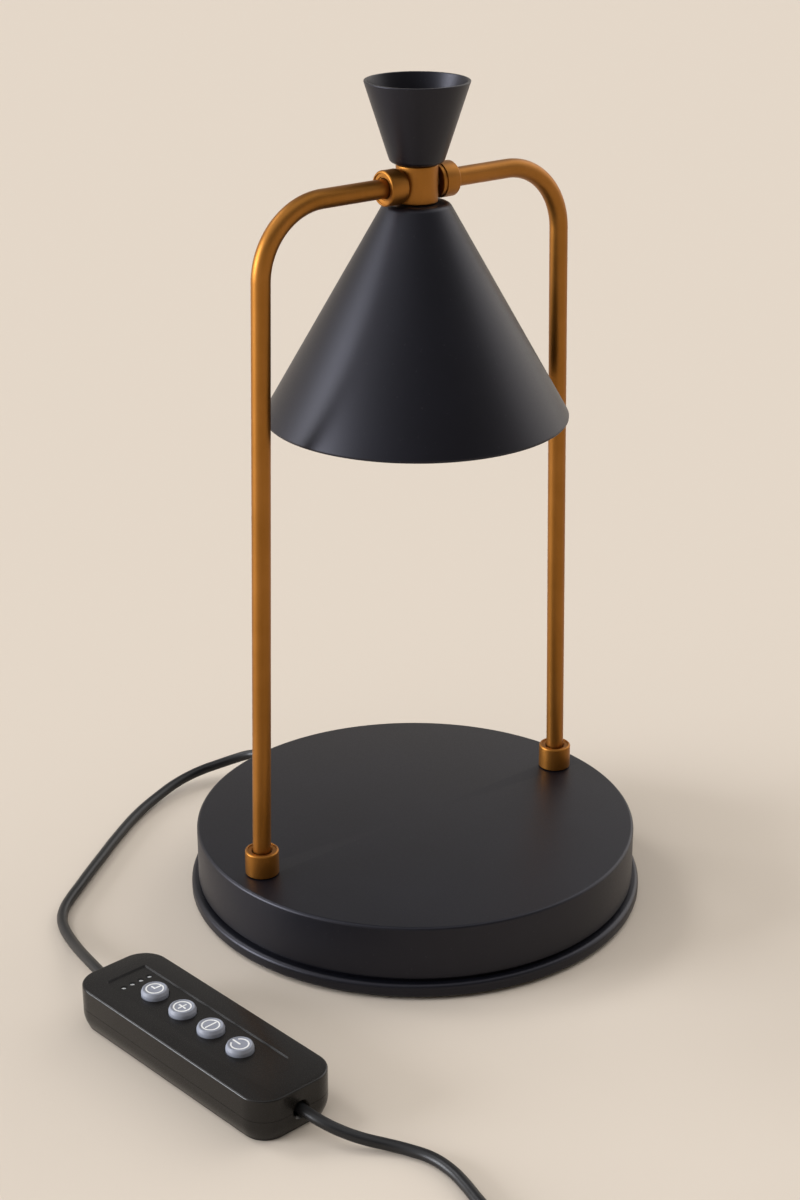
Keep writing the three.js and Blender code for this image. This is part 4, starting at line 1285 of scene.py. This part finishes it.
def coil_changes():
    """The angles wound, in degrees, at which the cord starts to move over to its next turn."""
    angle = 0
    changes = []
    for _ in COIL_ROW_HEIGHTS:
        for step in (FULL_TURN - COIL_WINDOW, FULL_TURN, FULL_TURN - COIL_WINDOW):
            angle += step
            changes.append(angle)
    return changes[:-1]


def coil_points():
    """The winding, clockwise seen from above, from the side where the cord comes in."""
    stops = coil_stops()
    points = []
    for angle in range(0, COIL_END_ANGLE + 1, COIL_STEP):
        radius, height = stops[0]
        for change, before, after in zip(coil_changes(), stops, stops[1:]):
            share = smooth((angle - change) / COIL_WINDOW)
            radius += share * (after[0] - before[0])
            height += share * (after[1] - before[1])
        around = math.radians(angle)
        x = COIL_CENTRE[0] + radius * math.cos(around)
        points.append((x, COIL_CENTRE[1] - radius * math.sin(around), height))
    return points


def make_cord(name, points, nodes):
    """A round cord on one smooth spline through the points."""
    data = bpy.data.curves.new(name, "CURVE")
    data.dimensions = "3D"
    data.bevel_depth = CORD_RADIUS
    data.bevel_resolution = CORD_SMOOTHNESS
    data.resolution_u = CORD_SMOOTHNESS
    data.use_fill_caps = True
    spline = data.splines.new("BEZIER")
    spline.bezier_points.add(len(points) - 1)
    for knot, place in zip(spline.bezier_points, points):
        knot.co = place
        knot.handle_left_type = knot.handle_right_type = "AUTO"
    made = placed(name, data, "cord_jacket", "stand", nodes)


def make_cords():
    """The cord to the controller, and the one from it through the coil to the plug."""
    make_cord(
        "base_lead",
        BASE_CORD_POINTS,
        ["base_cord"],
    )
    make_cord(
        "plug_lead",
        PLUG_CORD_POINTS + coil_points() + COIL_END_POINTS,
        ["plug_cord", "cord_coil", "coil_end_cord"],
    )


# Room.
def make_camera():
    data = bpy.data.cameras.new("camera")
    data.lens = CAMERA_LENS
    camera = bpy.data.objects.new("camera", data)
    camera.location = CAMERA_PLACE
    camera.rotation_euler = Euler((QUARTER - CAMERA_DOWN, 0, -CAMERA_HEADING))
    bpy.context.collection.objects.link(camera)
    bpy.context.scene.camera = camera
    bpy.context.scene.view_settings.view_transform = "Standard"


def make_floor():
    """A plain matt floor, which isn't part of the object."""
    shape = bmesh.new()
    bmesh.ops.create_grid(shape, x_segments=1, y_segments=1, size=FLOOR_SIZE / 2)
    mesh = bpy.data.meshes.new("floor")
    shape.to_mesh(mesh)
    shape.free()
    floor = bpy.data.objects.new("floor", mesh)
    bpy.context.collection.objects.link(floor)
    surface = bpy.data.materials.new("floor")
    surface.use_nodes = True
    shader = surface.node_tree.nodes["Principled BSDF"]
    shader.inputs["Base Color"].default_value = (*FLOOR_COLOUR, 1)
    shader.inputs["Roughness"].default_value = 1
    shader.inputs["Specular IOR Level"].default_value = 0
    mesh.materials.append(surface)


def make_world():
    """Soft studio light: a room that brightens towards one side, over an even horizon."""
    world = bpy.data.worlds.new("room")
    bpy.context.scene.world = world
    world.use_nodes = True
    tree = world.node_tree
    direction = add(tree, "TexCoord").outputs["Generated"]
    facing = tree.nodes.new("ShaderNodeVectorMath")
    facing.operation = "DOT_PRODUCT"
    tree.links.new(direction, facing.inputs[0])
    facing.inputs[1].default_value = BRIGHT_SIDE
    share = add(tree, "MapRange", Value=facing.outputs["Value"], From_Min=-1)
    sky = ramp(tree, share.outputs["Result"], DARK_STOP, MIDDLE_STOP, BRIGHT_STOP, BACK_STOP)
    low = add(
        tree,
        "MapRange",
        Value=add(tree, "SeparateXYZ", Vector=direction).outputs["Z"],
        From_Min=HORIZON_TOP,
        From_Max=HORIZON_FADE,
        To_Min=1,
        To_Max=0,
    ).outputs["Result"]
    room = add(tree, "MixRGB", Fac=low, Color1=sky, Color2=(*HORIZON_COLOUR, 1))
    tree.links.new(room.outputs["Color"], tree.nodes["Background"].inputs["Color"])


def make_sun(name, sun):
    """A sun that shines from its heading and height."""
    data = bpy.data.lights.new(name, "SUN")
    data.energy = sun["strength"]
    data.angle = math.radians(sun["angle"])
    data.color = sun["colour"]
    light = bpy.data.objects.new(name, data)
    tilt = QUARTER - math.radians(sun["height"])
    light.rotation_euler = Euler((tilt, 0, math.pi - math.radians(sun["heading"])))
    bpy.context.collection.objects.link(light)


def finish_kept_nodes():
    """Gives the CAD nodes that show as they are the materials of their slots."""
    slots = {entry["node"]: entry["material_slot"] for entry in frame["record"]["subparts"]}
    for node, made in frame["nodes"].items():
        for entry in made.material_slots:
            entry.material = materials[slots[node]]


materials = make_materials()
make_camera()
make_floor()
make_world()
make_sun("key", KEY_SUN)
make_sun("edge", EDGE_SUN)
make_sun("fill", FILL_SUN)
make_pan()
make_cover()
make_feet()
make_frame()
make_hub()
make_funnel()
make_shade()
make_lampholder()
make_bulb()
make_lens()
make_controller()
make_base_relief()
make_tie()
make_plug()
make_cords()
finish_kept_nodes()
